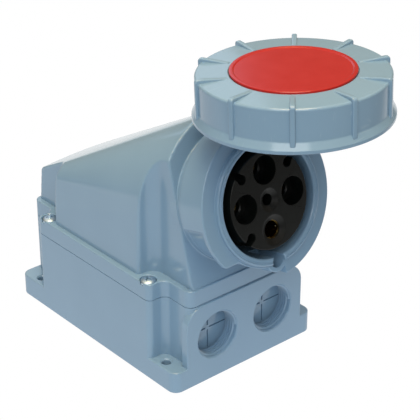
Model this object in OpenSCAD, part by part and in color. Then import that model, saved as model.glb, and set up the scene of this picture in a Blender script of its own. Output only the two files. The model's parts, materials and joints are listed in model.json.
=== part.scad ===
// Industrial wall socket, pin and sleeve type, with a bayonet lid shown open.
// The origin is the middle of the base's back face. The front is -Y and the lid opens upwards.

/* [Base box] */
// Width over the feet and the side walls
base_w = 112; // [108:1:124]
// Length over the feet
base_l = 158; // [154:1:176]
// Height of the base up to the parting line
base_h = 54; // [50:1:62]
// Thickness of the moulded walls
wall = 3; // [2.6:0.1:3.2]
// Thickness of the back, which lies on the wall
floor_t = 3.5; // [3:0.1:5]
// Height of the corner feet
foot_h = 14; // [9:0.5:15]
// Depth of the corner notches across the width
notch_w = 12.5; // [12:0.1:13.2]
// Length of the corner notches along the sides
notch_l = 23; // [20:0.5:24]
// Setback of the end walls behind the feet
end_setback = 1; // [0.5:0.1:1.5]
// Radius of the feet's outer corners
foot_corner_r = 6; // [3:0.5:8]
// Radius of the side walls' ends
side_corner_r = 3.5; // [3.2:0.1:5]
// Radius of the end walls' corners
end_corner_r = 5; // [3.2:0.1:6]
// Hollow radius inside the corner notches
notch_fillet_r = 5; // [2:0.5:6]

/* [Wall fixing] */
// Distance between mounting holes across the width
fix_w = 100; // [99:0.5:102]
// Distance between mounting holes along the length
fix_l = 128; // [126:0.5:131]
// Radius of the mounting holes
fix_hole_r = 2.75; // [2:0.05:3]
// Wall round the pocket under each foot
foot_pocket_wall = 2.6; // [2:0.1:3]
// Radius of the tube round each mounting hole
fix_tube_r = 4.6; // [4.2:0.1:5]

/* [Cable entries] */
// Distance between the two entries
entry_pitch = 44.2; // [42:0.1:45]
// Height of the entries above the back
entry_z = 29; // [27:0.5:30]
// Radius of the entries, inside the thread
entry_r = 15.2; // [13:0.1:15.5]
// Depth of the thread in front of the membrane
entry_depth = 10; // [7:0.5:14]
// Thickness of the knock-out membrane
membrane_t = 1.6; // [1.2:0.1:2.4]
// Wall round each entry
entry_wall = 2.4; // [2:0.1:2.6]
// Width of the scored lines in the membrane
score_w = 1; // [0.6:0.1:1.6]
// Depth of the scored lines
score_depth = 1; // [0.4:0.1:1.1]
// Radius of the membrane's unscored middle
score_hub_r = 1.5; // [1:0.5:5]
// Width of the flat pad round the entries
pad_w = 92; // [89:1:96]
// Distance from the parting line down to the pad
pad_drop = 2.5; // [1.5:0.1:4]
// Radius of the pad's upper corners
pad_corner_r = 13; // [8:0.5:14]

/* [Hood] */
// Height of the hood's flange
flange_h = 11; // [9:0.5:13]
// Thickness of the flange's top
flange_t = 3.4; // [3:0.1:4]
// Distance from the middle to the hood's flanks
flank_x = 53; // [52:0.1:53.5]
// Distance from the middle to the ends of the flanks
flank_y = 42; // [40:0.5:42.5]
// Distance from the middle to the sides of the hood's nose
nose_x = 40; // [39.8:0.1:41]
// Hollow radius of the corner flutes
flute_r = 8; // [6:0.5:9]
// Rounding of the flank's ends
flank_corner_r = 3.2; // [3.2:0.1:4]
// Distance from the middle to the rear wall's foot
rear_y = 75.5; // [73:0.5:76]
// Height of the roof at the rear wall
rear_top_z = 88; // [82:1:100]
// Lean of the rear wall, measured at the roof
rear_lean = 2.5; // [0:0.5:5]
// Rounding between roof and rear wall
roof_edge_r = 4; // [3.4:0.1:6]
// Rise of the roof's rear edge in the middle
roof_crown = 3.3; // [1:0.1:6]
// Narrowing of the flanks at the rear of the roof
roof_narrow = 3; // [1:0.5:6]

/* [Cover screws] */
// Distance between the screws across the width
screw_w = 102; // [101:0.1:102.6]
// Distance between the screws along the length
screw_l = 99; // [98:0.1:100]
// Radius of the screws' shanks
screw_r = 2.4; // [1.8:0.1:2.5]
// Radius of the screws' heads
screw_head_r = 4.7; // [4.2:0.1:4.8]
// Height of the screws' heads
screw_head_h = 3; // [2.2:0.1:3.4]
// Length of the screws below the head
screw_len = 34; // [26:1:40]
// Depth of the recess under each head
screw_sink = 2.2; // [1:0.1:2.4]
// Radius of the posts that take the screws
post_r = 5.4; // [5.2:0.1:5.6]

/* [Gaskets] */
// Width of the base gasket
gasket_w = 1.2; // [0.8:0.1:1.3]
// Depth of the base gasket's groove
gasket_h = 1.2; // [0.8:0.1:1.8]
// Distance from the outside of the wall to the gasket
gasket_inset = 0.9; // [0.7:0.05:1.1]
// Thickness of the seal behind the collar
seal_t = 1.5; // [1:0.1:2.5]
// Width of the seal behind the collar
seal_w = 1.6; // [1.2:0.1:1.8]

/* [Socket] */
// Upward tilt of the socket's axis
tilt = 15; // [12:0.5:18]
// Position of the mouth's centre in front of the middle
mouth_y = 98; // [97:0.5:100]
// Height of the mouth's centre above the back
mouth_z = 119.5; // [118:0.5:124]
// Depth of the hood's leaning face behind the mouth
face_depth = 34.5; // [33.5:0.1:35.5]
// Radius of the arch round the leaning face
arch_r = 51; // [50:0.1:52]
// Radius of the hood's neck and the collar's body
body_r = 39.8; // [39.2:0.1:39.9]
// Length of the hood's neck
neck_l = 4; // [3:0.5:6]
// Radius of the collar's bore
bore_r = 34; // [33.6:0.05:34.1]
// Radius of the bore's rounded mouth
mouth_r = 35.2; // [34.8:0.1:35.6]
// Outer radius of the sealing lip
lip_r = 38.4; // [37.6:0.1:38.8]
// Height of the lip in front of the bayonet tabs
lip_h = 2.6; // [2.4:0.1:3.2]
// Radius of the collar's spigot inside the neck
spigot_r = 36.2; // [35.9:0.05:36.3]
// Depth of the ring-shaped gap for the plug's shroud
gap_depth = 46; // [44:0.5:48]
// Thickness of the gap's floor
gap_floor_t = 4; // [3:0.1:5]
// Radius of the keyway's round groove
key_r = 4.6; // [3.5:0.1:5]
// Distance from the axis to the keyway's centre
key_offset = 36.8; // [36:0.1:37.2]
// Depth of the keyway behind the mouth
key_depth = 24; // [16:1:26]
// Wall round the keyway
key_wall = 2.8; // [2.2:0.1:3]

/* [Bayonet] */
// Outer radius of the bayonet tabs
tab_r = 47.5; // [46.5:0.1:47.6]
// Depth of the tabs' thick part behind their front
tab_thick = 20; // [18:0.5:22]
// Depth of the tabs' thin part
tab_thin = 3.5; // [3:0.1:5]
// Angle where the left tab's thick part starts, near the top
tab_start = 97; // [95:1:106]
// Angle turned by the thick part
tab_thick_angle = 89; // [78:1:90]
// Angle turned by the thin part
tab_thin_angle = 32; // [30:1:34]
// Turn that locks the ring
lock_turn = 28; // [24:0.5:30]
// Angle turned by each lug of the ring
lug_angle = 22; // [18:0.5:23]
// Gap between a free lug and the thin part of the next tab
lug_gap_angle = 9; // [8:0.5:10]

/* [Contacts] */
// Radius of the black contact carrier
carrier_r = 28.9; // [28.5:0.1:29]
// Depth of the carrier's face behind the mouth
carrier_depth = 0.5; // [0.3:0.1:3]
// Radius of the circle through the contacts
contact_pcd_r = 18; // [17.5:0.1:18.2]
// Radius of the wide openings over the phase sleeves
phase_mouth_r = 8.4; // [7.6:0.1:8.6]
// Depth of those openings
phase_mouth_depth = 10.5; // [8:0.5:14]
// Radius of the phase pins that fit
phase_pin_r = 4.1; // [3.8:0.05:4.2]
// Radius of the earth pin that fits
earth_pin_r = 5.1; // [4.8:0.05:5.2]
// Radius of the pilot pin that fits
pilot_pin_r = 3.1; // [2.8:0.05:3.2]
// Wall of the phase and earth sleeves
sleeve_wall = 1.9; // [1.7:0.05:2]
// Wall of the pilot sleeve
pilot_wall = 1.4; // [1.3:0.05:1.5]
// Depth of the earth sleeve below the carrier's face
earth_sleeve_depth = 3.5; // [3.2:0.1:5]
// Length of the slits that make the sleeves springy
slit_l = 14; // [10:0.5:16]
// Width of the slits
slit_w = 0.8; // [0.5:0.1:1]
// Radius of the wire of the sleeves' spring rings
spring_wire_r = 0.4; // [0.3:0.05:0.42]
// Thickness of the carrier's flange
carrier_flange_t = 4; // [3:0.1:5]
// Thickness of the plate behind the carrier
back_t = 5; // [4.5:0.1:6]
// Length of the terminal barrels behind the plate
barrel_l = 17; // [15:0.5:20]
// Radius of the terminal screws
terminal_screw_r = 2.2; // [1.8:0.1:2.3]
// Radius of the small screws of carrier and plate
small_screw_r = 1.2; // [1:0.05:1.3]

/* [Lid] */
// Angle by which the lid stands open
lid_open = 78; // [70:1:90]
// Height of the lid's outer face above the mouth when shut
lid_top = 12.5; // [12.3:0.1:13.2]
// Height of the locking ring
ring_h = 24.1; // [23.9:0.1:24.2]
// Outer radius of the ring's wall
ring_r = 53.2; // [52.4:0.1:53.4]
// Inner radius of the ring's wall
ring_bore_r = 49.4; // [49.3:0.1:49.8]
// Thickness of the ring's top
ring_top_t = 3.5; // [3:0.1:3.6]
// Radius of the ring's flared foot
ring_foot_r = 55.4; // [55:0.1:57]
// Height of the flared foot
ring_foot_h = 6.2; // [4:0.1:8]
// Depth of the seat that the red disc lies in
disc_seat = 1.5; // [0.8:0.1:1.6]
// Fall of the ring's top from the disc to its outer edge
ring_fall = 1.1; // [0.4:0.1:1.2]
// Radius of the hub that the ring turns on
hub_r = 30.8; // [28:0.1:31]
// Radius of the red disc
disc_r = 34.7; // [33.5:0.1:36]
// Thickness of the red disc
disc_t = 1.9; // [1.6:0.1:2]
// Number of ribs
rib_count = 10; // [6:1:14]
// Width of each rib
rib_w = 3; // [2:0.1:4]
// Height of the ribs above the ring
rib_h = 2; // [1:0.1:2.4]
// Height of the ribs on the ring's wall
rib_side = 1.4; // [1:0.1:1.6]
// Angle of the first rib
rib_phase = 9.9; // [0:0.1:36]
// Radius of the lid cap's plate
cap_r = 46; // [44:0.1:46.5]
// Thickness of the lid cap's plate
cap_t = 3.5; // [3:0.1:3.6]
// Radius of the cap's centring skirt
cap_skirt_r = 42; // [41.4:0.1:42.6]
// Wall of the centring skirt
cap_skirt_wall = 2.4; // [1.8:0.1:2.5]
// Thickness of the lid gasket
lid_gasket_t = 2.7; // [2.5:0.1:2.8]

/* [Hinge] */
// Distance of the hinge's axis from the socket's axis
hinge_up = 55.2; // [54.8:0.1:55.6]
// Depth of the hinge's axis behind the mouth
hinge_depth = 23.8; // [23.4:0.1:24.2]
// Radius of the hinge pin
pin_r = 2.5; // [2:0.05:2.8]
// Radius of the hinge's knuckles
knuckle_r = 6; // [5:0.1:6.2]
// Width of the lid's hinge arm
arm_w = 18; // [15:0.5:19]
// Thickness of the hinge arm
arm_t = 5.2; // [4:0.1:5.6]
// Width of each ear on the collar
ear_w = 6.5; // [5:0.1:8]
// Thickness of the friction washers
washer_t = 0.6; // [0.5:0.05:0.8]

/* [Clearances] */
// Gap between pieces that turn on each other
run_gap = 0.3; // [0.25:0.01:0.34]
// Gap round pieces that are pushed together
fit_gap = 0.1; // [0.06:0.01:0.14]
// Gap between the pin and the arm's bore
pin_gap = 0.08; // [0.05:0.01:0.1]

/* [Hidden] */
$fn = 96;

// Overlap that makes unions and cuts clean
eps = 0.5;
// Number of sides of the round pieces inside hulls, and of the roof's wide crown
hull_fn = 64;
crown_fn = 360;

grey = "#8fa3b8";
black = "#1d1f22";
brass = "#c9a24a";
steel = "#c8ccd0";
rubber = "#2a2d31";
red = "#d8382c";

// Plan of the base
body_l = base_l - 2 * end_setback;
side_l = base_l - 2 * notch_l;
end_w = base_w - 2 * notch_w;
flange_z = base_h + flange_h;
hood_top = mouth_z + arch_r + wall;
roof_half_w = flank_x - roof_narrow;
crown_r = (roof_half_w * roof_half_w + roof_crown * roof_crown) / (2 * roof_crown);

// Screw heights
head_z = flange_z - screw_sink;

// Depths along the socket's axis, negative behind the mouth
tab_front = -lip_h;
tab_back = tab_front - tab_thick;
thin_back = tab_front - tab_thin;
face_k = -face_depth;
neck_front = face_k + neck_l;
shoulder_k = neck_front + fit_gap;
inner_face_k = face_k - wall;
floor_k = -gap_depth;
floor_back = floor_k - gap_floor_t;
carrier_back_k = floor_back - carrier_flange_t;
plate_back_k = carrier_back_k - back_t;
lip_edge = 0.9;
tab_root_r = (bore_r + body_r) / 2;
neck_bore_r = spigot_r + fit_gap;
seal_r = neck_bore_r + seal_w;

// Retaining clip behind the hood's face
clip_t = 2.4;
clip_groove = 0.9;
clip_margin = 2;
clip_k = inner_face_k - fit_gap;
clip_r = arch_r - wall - clip_margin;

// Lid, measured with the lid shut
disc_k = lid_top - disc_t;
ring_top = disc_k - run_gap;
ring_under = ring_top - ring_top_t;
ring_foot = ring_top - ring_h;
ring_edge = ring_top + disc_seat - ring_fall;
cap_top = ring_under - run_gap;
cap_under = cap_top - cap_t;
lug_top = thin_back - run_gap;
lug_r = (body_r + tab_r) / 2;
ring_hole_r = hub_r + run_gap;
skirt_k = tab_front + run_gap;
stem_r = 10;
stem_l = 3.6;

// Angles of the bayonet, from +X towards the top
thin_start = tab_start + tab_thick_angle;
tab_end = thin_start + tab_thin_angle;
// The thin parts end in a straight cut, level with their outer corners
tab_lap = 12;
tab_cut = -tab_r * sin(tab_end);
lug_start = tab_end + lug_gap_angle;
arm_angle = asin(arm_w / 2 / ring_bore_r);
window_margin = 2.5;
window_start = 90 - arm_angle - window_margin;
window_turn = 2 * arm_angle + lock_turn + 2 * window_margin;

// Hinge, measured along the pin
ear_in = arm_w / 2 + washer_t + 2 * fit_gap;
ear_out = ear_in + ear_w;
washer_inset = 0.6;

// Sleeves, their terminals and the screws of carrier and plate
sleeve_setback = 4;
phase_front = -carrier_depth - phase_mouth_depth - sleeve_setback;
earth_front = -carrier_depth - earth_sleeve_depth;
shoulder_over = 1.6;
shoulder_t = 2;
ring_setback = 3;
barrel_over = 0.8;
sleeve_web = 2;
terminal_inset = 6;
terminal_depth = plate_back_k - barrel_l + terminal_inset;
terminal_reach = 3.4;
terminal_bite = 0.4;
small_head_r = 2 * small_screw_r;
small_head_h = 1.4 * small_screw_r;
carrier_flange_inset = 1.2;
carrier_flange_r = spigot_r - carrier_flange_inset;
carrier_screw_r = carrier_r + run_gap + small_head_r;
carrier_screw_end = 1;
carrier_screw_bite = gap_floor_t - carrier_screw_end;
back_screw_out = 4;
back_screw_r = contact_pcd_r + back_screw_out;
back_screw_bite = 10;
blind_end = 0.5;
carrier_screw_angles = [45, 135, 225];
back_screw_angles = [45, 135, 225, 315];

// Moves a piece from the socket's own frame, with its axis as Z and the top as Y, into place
module at_mouth() {
    translate([0, -mouth_y, mouth_z]) rotate([90 - tilt, 0, 0]) children();
}

// Moves a piece of the shut lid, drawn in the socket's frame, to where the open lid stands
module at_lid() {
    at_mouth()
        translate([0, hinge_up, -hinge_depth])
            rotate([-lid_open, 0, 0])
                translate([0, -hinge_up, hinge_depth]) children();
}

module at_corners(w, l) {
    for (sx = [-1, 1]) for (sy = [-1, 1]) translate([sx * w / 2, sy * l / 2]) children();
}

// Rectangle with round corners, about the origin
module round_rect(w, l, r) {
    square([w - 2 * r, l], center = true);
    square([w, l - 2 * r], center = true);
    at_corners(w - 2 * r, l - 2 * r) circle(r);
}

// Two crossed rectangles with hollow corners, moved in by inset
module notched(wide, side, narrow, long, side_r, end_r, hollow_r, inset) {
    r = hollow_r + inset;
    round_rect(wide - 2 * inset, side - 2 * inset, side_r - inset);
    round_rect(narrow - 2 * inset, long - 2 * inset, end_r - inset);
    for (sx = [-1, 1]) for (sy = [-1, 1]) scale([sx, sy])
        translate([narrow / 2 - inset, side / 2 - inset]) difference() {
            translate([-eps, -eps]) square(r + eps);
            translate([r, r]) circle(r);
        }
}

module body_outline(inset = 0) {
    notched(base_w, side_l, end_w, body_l, side_corner_r, end_corner_r, notch_fillet_r, inset);
}

module dome_outline(inset = 0) {
    notched(2 * flank_x, 2 * flank_y, 2 * nose_x, body_l, flank_corner_r, flank_corner_r, flute_r, inset);
}

// Plan of the room inside the walls, less the screw posts
module room_outline() {
    difference() {
        body_outline(wall);
        at_corners(screw_w, screw_l) circle(post_r);
    }
}

// A cylinder along +Y from the front of the base
module entry_cylinder(r, from, to) {
    translate([0, -base_l / 2 + from, 0]) rotate([-90, 0, 0]) cylinder(r = r, h = to - from);
}

module at_entries() {
    for (sx = [-1, 1]) translate([sx * entry_pitch / 2, 0, entry_z]) children();
}

// Flat pad on the front wall, with round upper corners
module entry_pad() {
    pad_h = base_h - pad_drop;
    pad_t = end_setback + wall;
    translate([0, -base_l / 2 + pad_t, 0]) rotate([90, 0, 0]) linear_extrude(pad_t) {
        translate([-pad_w / 2, 0]) square([pad_w, pad_h - pad_corner_r]);
        translate([-pad_w / 2 + pad_corner_r, 0]) square([pad_w - 2 * pad_corner_r, pad_h]);
        for (sx = [-1, 1])
            translate([sx * (pad_w / 2 - pad_corner_r), pad_h - pad_corner_r]) circle(pad_corner_r);
    }
}

// Pocket under each foot, open at the back, with a tube left round the hole
module foot_pocket() {
    pocket_w = notch_w - 2 * foot_pocket_wall;
    pocket_l = notch_l - 2 * foot_pocket_wall;
    difference() {
        at_corners(base_w - notch_w, base_l - notch_l) square([pocket_w, pocket_l], center = true);
        at_corners(fix_w, fix_l) circle(fix_tube_r);
    }
}

module entry_scores() {
    score_l = entry_r - score_hub_r - score_w;
    for (turn = [0:90:270]) rotate([0, turn, 0])
        translate([score_hub_r, -base_l / 2 + entry_depth - eps, -score_w / 2])
            cube([score_l, score_depth + eps, score_w]);
}

module base_box() {
    entry_end = entry_depth + membrane_t;
    color(grey) difference() {
        union() {
            difference() {
                union() {
                    linear_extrude(foot_h) round_rect(base_w, base_l, foot_corner_r);
                    linear_extrude(base_h) body_outline();
                    entry_pad();
                }
                translate([0, 0, floor_t]) linear_extrude(base_h) room_outline();
            }
            at_entries() entry_cylinder(entry_r + entry_wall, wall / 2, entry_end);
        }
        at_entries() {
            entry_cylinder(entry_r, -eps, entry_depth);
            entry_scores();
        }
        translate([0, 0, base_h - gasket_h]) linear_extrude(gasket_h + eps) gasket_outline(0);
        translate([0, 0, -eps]) linear_extrude(foot_h + 2 * eps) at_corners(fix_w, fix_l) circle(fix_hole_r);
        translate([0, 0, -eps]) linear_extrude(foot_h - foot_pocket_wall + eps) foot_pocket();
        at_corners(screw_w, screw_l)
            translate([0, 0, head_z - screw_len - blind_end]) cylinder(r = screw_r + fit_gap, h = base_h);
    }
}

// Plan of the gasket between base and hood, made narrower by slack at each side
module gasket_outline(slack) {
    difference() {
        body_outline(gasket_inset + slack);
        body_outline(gasket_inset + gasket_w - slack);
    }
}

module box_gasket() {
    color(rubber) translate([0, 0, base_h - gasket_h])
        linear_extrude(gasket_h) gasket_outline(fit_gap / 2);
}

// Loft from the low rear wall to the round arch of the leaning face, moved in by inset
module dome_loft(inset) {
    slab = 2;
    foot_drop = (flange_z - flange_t - mouth_z) / cos(tilt) - face_depth * tan(tilt);
    crown_turn = 2 * asin((roof_half_w - inset) / crown_r);
    hull() {
        at_mouth() translate([0, 0, face_k - inset - slab]) {
            cylinder(r = arch_r - inset, h = slab, $fn = hull_fn);
            translate([-flank_x + inset, foot_drop, 0]) cube([2 * (flank_x - inset), slab, slab]);
        }
        translate([-flank_x + inset, rear_y - inset - slab, flange_z - flange_t])
            cube([2 * (flank_x - inset), slab, slab]);
        translate([0, rear_y - rear_lean - roof_edge_r, rear_top_z - roof_edge_r + roof_crown - crown_r])
            rotate([90, 0, 0]) rotate([0, 0, 90 - crown_turn / 2])
                rotate_extrude(angle = crown_turn, $fn = crown_fn)
                    translate([crown_r, 0]) circle(roof_edge_r - inset, $fn = 24);
    }
}

// The loft with its corner flutes
module dome(inset) {
    intersection() {
        dome_loft(inset);
        translate([0, 0, base_h]) linear_extrude(hood_top) dome_outline(inset);
    }
}

module hood() {
    color(grey) difference() {
        union() {
            translate([0, 0, base_h]) linear_extrude(flange_h) body_outline();
            dome(0);
            at_mouth() translate([0, 0, inner_face_k]) cylinder(r = body_r, h = neck_front - inner_face_k);
        }
        translate([0, 0, base_h - eps]) linear_extrude(flange_h - flange_t + eps) room_outline();
        dome(wall);
        at_mouth() {
            translate([0, 0, inner_face_k - 2 * eps])
                cylinder(r = neck_bore_r, h = neck_front - inner_face_k + 4 * eps);
            translate([0, 0, neck_front - seal_t]) cylinder(r = seal_r, h = seal_t + eps);
        }
        at_corners(screw_w, screw_l) {
            translate([0, 0, base_h - eps]) cylinder(r = screw_r + fit_gap, h = flange_h + 2 * eps);
            translate([0, 0, head_z]) cylinder(r = screw_head_r + run_gap, h = screw_sink + eps);
        }
    }
}

// Pan-head screw with a cross recess, head down to z = 0
module pan_screw(shank_r, len, head_r, head_h) {
    rim_h = 0.55 * head_h;
    crown_r = 0.62 * head_r;
    recess_w = 0.28 * head_r;
    recess_l = 1.04 * head_r;
    recess_z = 0.4 * head_h;
    difference() {
        union() {
            translate([0, 0, -len]) cylinder(r = shank_r, h = len + eps);
            cylinder(r = head_r, h = rim_h);
            translate([0, 0, rim_h]) cylinder(r1 = head_r, r2 = crown_r, h = head_h - rim_h);
        }
        for (turn = [0, 90]) rotate([0, 0, turn])
            translate([-recess_l / 2, -recess_w / 2, recess_z]) cube([recess_l, recess_w, head_h]);
    }
}

module cover_screws() {
    color(steel) at_corners(screw_w, screw_l)
        translate([0, 0, head_z]) pan_screw(screw_r, screw_len, screw_head_r, screw_head_h);
}

// Ring sector between two radii, from depth low to depth high
module sector(r_in, r_out, low, high, start, turn) {
    rotate([0, 0, start]) rotate_extrude(angle = turn)
        translate([r_in, low]) square([r_out - r_in, high - low]);
}

// Section of the collar's turned part
module collar_section() {
    polygon([
        [carrier_r + run_gap, floor_back], [carrier_r + run_gap, floor_k],
        [bore_r, floor_k], [bore_r, -lip_edge], [mouth_r, 0],
        [lip_r - lip_edge, 0], [lip_r, -lip_edge], [lip_r, tab_front],
        [body_r, tab_front], [body_r, shoulder_k], [spigot_r, shoulder_k],
        [spigot_r, clip_k], [spigot_r - clip_groove, clip_k],
        [spigot_r - clip_groove, clip_k - clip_t - fit_gap], [spigot_r, clip_k - clip_t - fit_gap],
        [spigot_r, floor_back]
    ]);
}

module bayonet_tabs() {
    for (half = [0, 180]) {
        sector(tab_root_r, tab_r, tab_back, thin_back, tab_start + half, tab_thick_angle);
        difference() {
            sector(tab_root_r, tab_r, thin_back, tab_front, tab_start + half, tab_end - tab_start + tab_lap);
            rotate([0, 0, half]) translate([-2 * tab_r, -tab_cut - tab_r, thin_back - eps])
                cube([2 * tab_r, tab_r, tab_thin + 2 * eps]);
        }
    }
}

module hinge_ears() {
    for (sx = [-1, 1]) translate([sx * (ear_in + ear_w / 2), 0, -hinge_depth]) {
        translate([-ear_w / 2, tab_root_r, -knuckle_r]) cube([ear_w, hinge_up - tab_root_r, 2 * knuckle_r]);
        translate([0, hinge_up, 0]) rotate([0, 90, 0]) cylinder(r = knuckle_r, h = ear_w, center = true);
    }
}

// A round rod along X on the hinge's axis
module on_hinge(r, from, to) {
    translate([from, hinge_up, -hinge_depth]) rotate([0, 90, 0]) cylinder(r = r, h = to - from);
}

module socket_collar() {
    key_boss_r = key_r + key_wall;
    color(grey) at_mouth() difference() {
        union() {
            rotate_extrude() collar_section();
            bayonet_tabs();
            difference() {
                union() {
                    hinge_ears();
                    translate([0, -key_offset, tab_front - key_depth])
                        cylinder(r = key_boss_r, h = key_depth);
                }
                translate([0, 0, floor_k]) cylinder(r = bore_r, h = gap_depth + eps);
            }
        }
        translate([0, -key_offset, -key_depth]) cylinder(r = key_r, h = key_depth + eps);
        on_hinge(pin_r + fit_gap / 2, -ear_out - eps, ear_out + eps);
        for (turn = carrier_screw_angles) rotate([0, 0, turn])
            translate([carrier_screw_r, 0, floor_back - eps])
                cylinder(r = small_screw_r + fit_gap, h = carrier_screw_bite + blind_end + eps, $fn = 32);
    }
}

module collar_seal() {
    color(rubber) at_mouth() rotate_extrude()
        translate([neck_bore_r, neck_front - seal_t]) square([seal_w - fit_gap, seal_t]);
}

// Horseshoe plate in the spigot's groove, open at the bottom
module collar_clip() {
    groove_r = spigot_r - clip_groove + fit_gap;
    side_x = nose_x - wall - run_gap;
    color(steel) at_mouth() translate([0, 0, clip_k - clip_t]) linear_extrude(clip_t - fit_gap)
        difference() {
            intersection() {
                circle(clip_r);
                square([2 * side_x, 2 * clip_r], center = true);
            }
            circle(groove_r);
            translate([-groove_r, -2 * clip_r]) square([2 * groove_r, 2 * clip_r]);
        }
}

function contact_place(turn) = [contact_pcd_r * cos(turn), contact_pcd_r * sin(turn), 0];
phase_turns = [0, 90, 180];
earth_turn = 270;
pilot_screw_turn = 45;

// Play round a pin in the carrier, and the depth of the rim's notches
pin_play = 0.4;
notch_inset = 4.4;

// Bore that a sleeve slides into from behind, up to its front
module sleeve_bore(outer_r, front) {
    translate([0, 0, carrier_back_k - eps]) cylinder(r = outer_r + fit_gap, h = front - carrier_back_k + eps);
}

// Notch in the carrier's rim, round inside and open outwards
module carrier_notch() {
    notch_r = 2.9;
    notch_l = 9;
    translate([carrier_r - notch_inset, 0, -carrier_depth - notch_l]) {
        cylinder(r = notch_r, h = notch_l + eps, $fn = 48);
        translate([0, -notch_r * 0.8, 0]) cube([notch_inset + eps, notch_r * 1.6, notch_l + eps]);
    }
}

// Hole for a bare pin, with a conical dish in the carrier's face
module dished_hole(pin, front) {
    hole_r = pin + pin_play;
    dish_depth = 2;
    dish_w = 3.4;
    translate([0, 0, front - eps]) cylinder(r = hole_r, h = -carrier_depth - front + 2 * eps);
    translate([0, 0, -carrier_depth - dish_depth])
        cylinder(r1 = hole_r, r2 = hole_r + dish_w, h = dish_depth + fit_gap);
}

module contact_carrier() {
    face = -carrier_depth;
    color(black) at_mouth() difference() {
        union() {
            translate([0, 0, carrier_back_k]) cylinder(r = carrier_r, h = face - carrier_back_k);
            translate([0, 0, carrier_back_k]) cylinder(r = carrier_flange_r, h = carrier_flange_t);
        }
        for (turn = phase_turns) translate(contact_place(turn)) {
            translate([0, 0, face - phase_mouth_depth])
                cylinder(r = phase_mouth_r, h = phase_mouth_depth + eps);
            sleeve_bore(phase_pin_r + sleeve_wall, phase_front + fit_gap);
            translate([0, 0, phase_front - eps])
                cylinder(r = phase_pin_r + pin_play, h = sleeve_setback + 2 * eps);
        }
        translate(contact_place(earth_turn)) {
            sleeve_bore(earth_pin_r + sleeve_wall, earth_front + fit_gap);
            dished_hole(earth_pin_r, earth_front);
        }
        sleeve_bore(pilot_pin_r + pilot_wall, phase_front + fit_gap);
        dished_hole(pilot_pin_r, phase_front);
        for (turn = carrier_screw_angles) rotate([0, 0, turn]) {
            carrier_notch();
            translate([carrier_screw_r, 0, carrier_back_k - eps])
                cylinder(r = small_screw_r + fit_gap, h = carrier_flange_t + 2 * eps, $fn = 32);
        }
        for (turn = back_screw_angles) rotate([0, 0, turn])
            translate([back_screw_r, 0, carrier_back_k - eps])
                cylinder(r = small_screw_r + fit_gap, h = back_screw_bite + blind_end + eps, $fn = 32);
    }
}

// Small pan-head screw that points to +Z, with its head behind z = 0
module small_screw(len) {
    rotate([180, 0, 0]) pan_screw(small_screw_r, len, small_head_r, small_head_h, $fn = 32);
}

module carrier_screws() {
    color(steel) at_mouth() for (turn = carrier_screw_angles) rotate([0, 0, turn])
        translate([carrier_screw_r, 0, carrier_back_k]) small_screw(carrier_flange_t + carrier_screw_bite);
}

// Hole in the back plate for a sleeve's barrel, with a seat for its shoulder
module plate_hole(outer_r) {
    translate([0, 0, plate_back_k - eps]) cylinder(r = outer_r + barrel_over + fit_gap, h = back_t + 2 * eps);
    translate([0, 0, carrier_back_k - shoulder_t - fit_gap])
        cylinder(r = outer_r + shoulder_over + fit_gap, h = shoulder_t + fit_gap + eps);
}

module carrier_back() {
    color(black) at_mouth() difference() {
        translate([0, 0, plate_back_k]) cylinder(r = carrier_r, h = back_t);
        for (turn = phase_turns) translate(contact_place(turn)) plate_hole(phase_pin_r + sleeve_wall);
        translate(contact_place(earth_turn)) plate_hole(earth_pin_r + sleeve_wall);
        plate_hole(pilot_pin_r + pilot_wall);
        for (turn = back_screw_angles) rotate([0, 0, turn])
            translate([back_screw_r, 0, plate_back_k - eps])
                cylinder(r = small_screw_r + fit_gap, h = back_t + 2 * eps, $fn = 32);
    }
}

module back_screws() {
    color(steel) at_mouth() for (turn = back_screw_angles) rotate([0, 0, turn])
        translate([back_screw_r, 0, plate_back_k]) small_screw(back_t + back_screw_bite);
}

// Turned sleeve with spring slits in front, a shoulder and a terminal barrel behind
module sleeve(pin, thickness, front, screw_turn) {
    outer_r = pin + thickness;
    barrel_r = outer_r + barrel_over;
    groove_k = front - ring_setback;
    tail = plate_back_k - barrel_l;
    difference() {
        union() {
            translate([0, 0, carrier_back_k]) cylinder(r = outer_r, h = front - carrier_back_k);
            translate([0, 0, carrier_back_k - shoulder_t])
                cylinder(r = outer_r + shoulder_over, h = shoulder_t);
            translate([0, 0, tail]) cylinder(r = barrel_r, h = carrier_back_k - shoulder_t - tail + eps);
        }
        translate([0, 0, carrier_back_k + sleeve_web]) cylinder(r = pin, h = front - carrier_back_k);
        translate([0, 0, tail - eps]) cylinder(r = pin, h = barrel_l - sleeve_web + eps);
        for (turn = [0, 90]) rotate([0, 0, turn])
            translate([-barrel_r, -slit_w / 2, front - slit_l]) cube([2 * barrel_r, slit_w, slit_l + eps]);
        translate([0, 0, groove_k - spring_wire_r - fit_gap]) difference() {
            cylinder(r = outer_r + eps, h = 2 * (spring_wire_r + fit_gap));
            translate([0, 0, -eps])
                cylinder(r = outer_r - 2 * spring_wire_r - 2 * fit_gap, h = 2 * spring_wire_r + 3 * eps);
        }
        translate([0, 0, terminal_depth]) rotate([0, 90, screw_turn])
            cylinder(r = terminal_screw_r + fit_gap, h = 2 * barrel_r, $fn = 48);
    }
}

module phase_sleeve(turn) {
    color(brass) at_mouth() translate(contact_place(turn))
        sleeve(phase_pin_r, sleeve_wall, phase_front, turn);
}

module earth_sleeve() {
    color(brass) at_mouth() translate(contact_place(earth_turn))
        sleeve(earth_pin_r, sleeve_wall, earth_front, earth_turn);
}

module pilot_sleeve() {
    color(brass) at_mouth() sleeve(pilot_pin_r, pilot_wall, phase_front, pilot_screw_turn);
}

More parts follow.
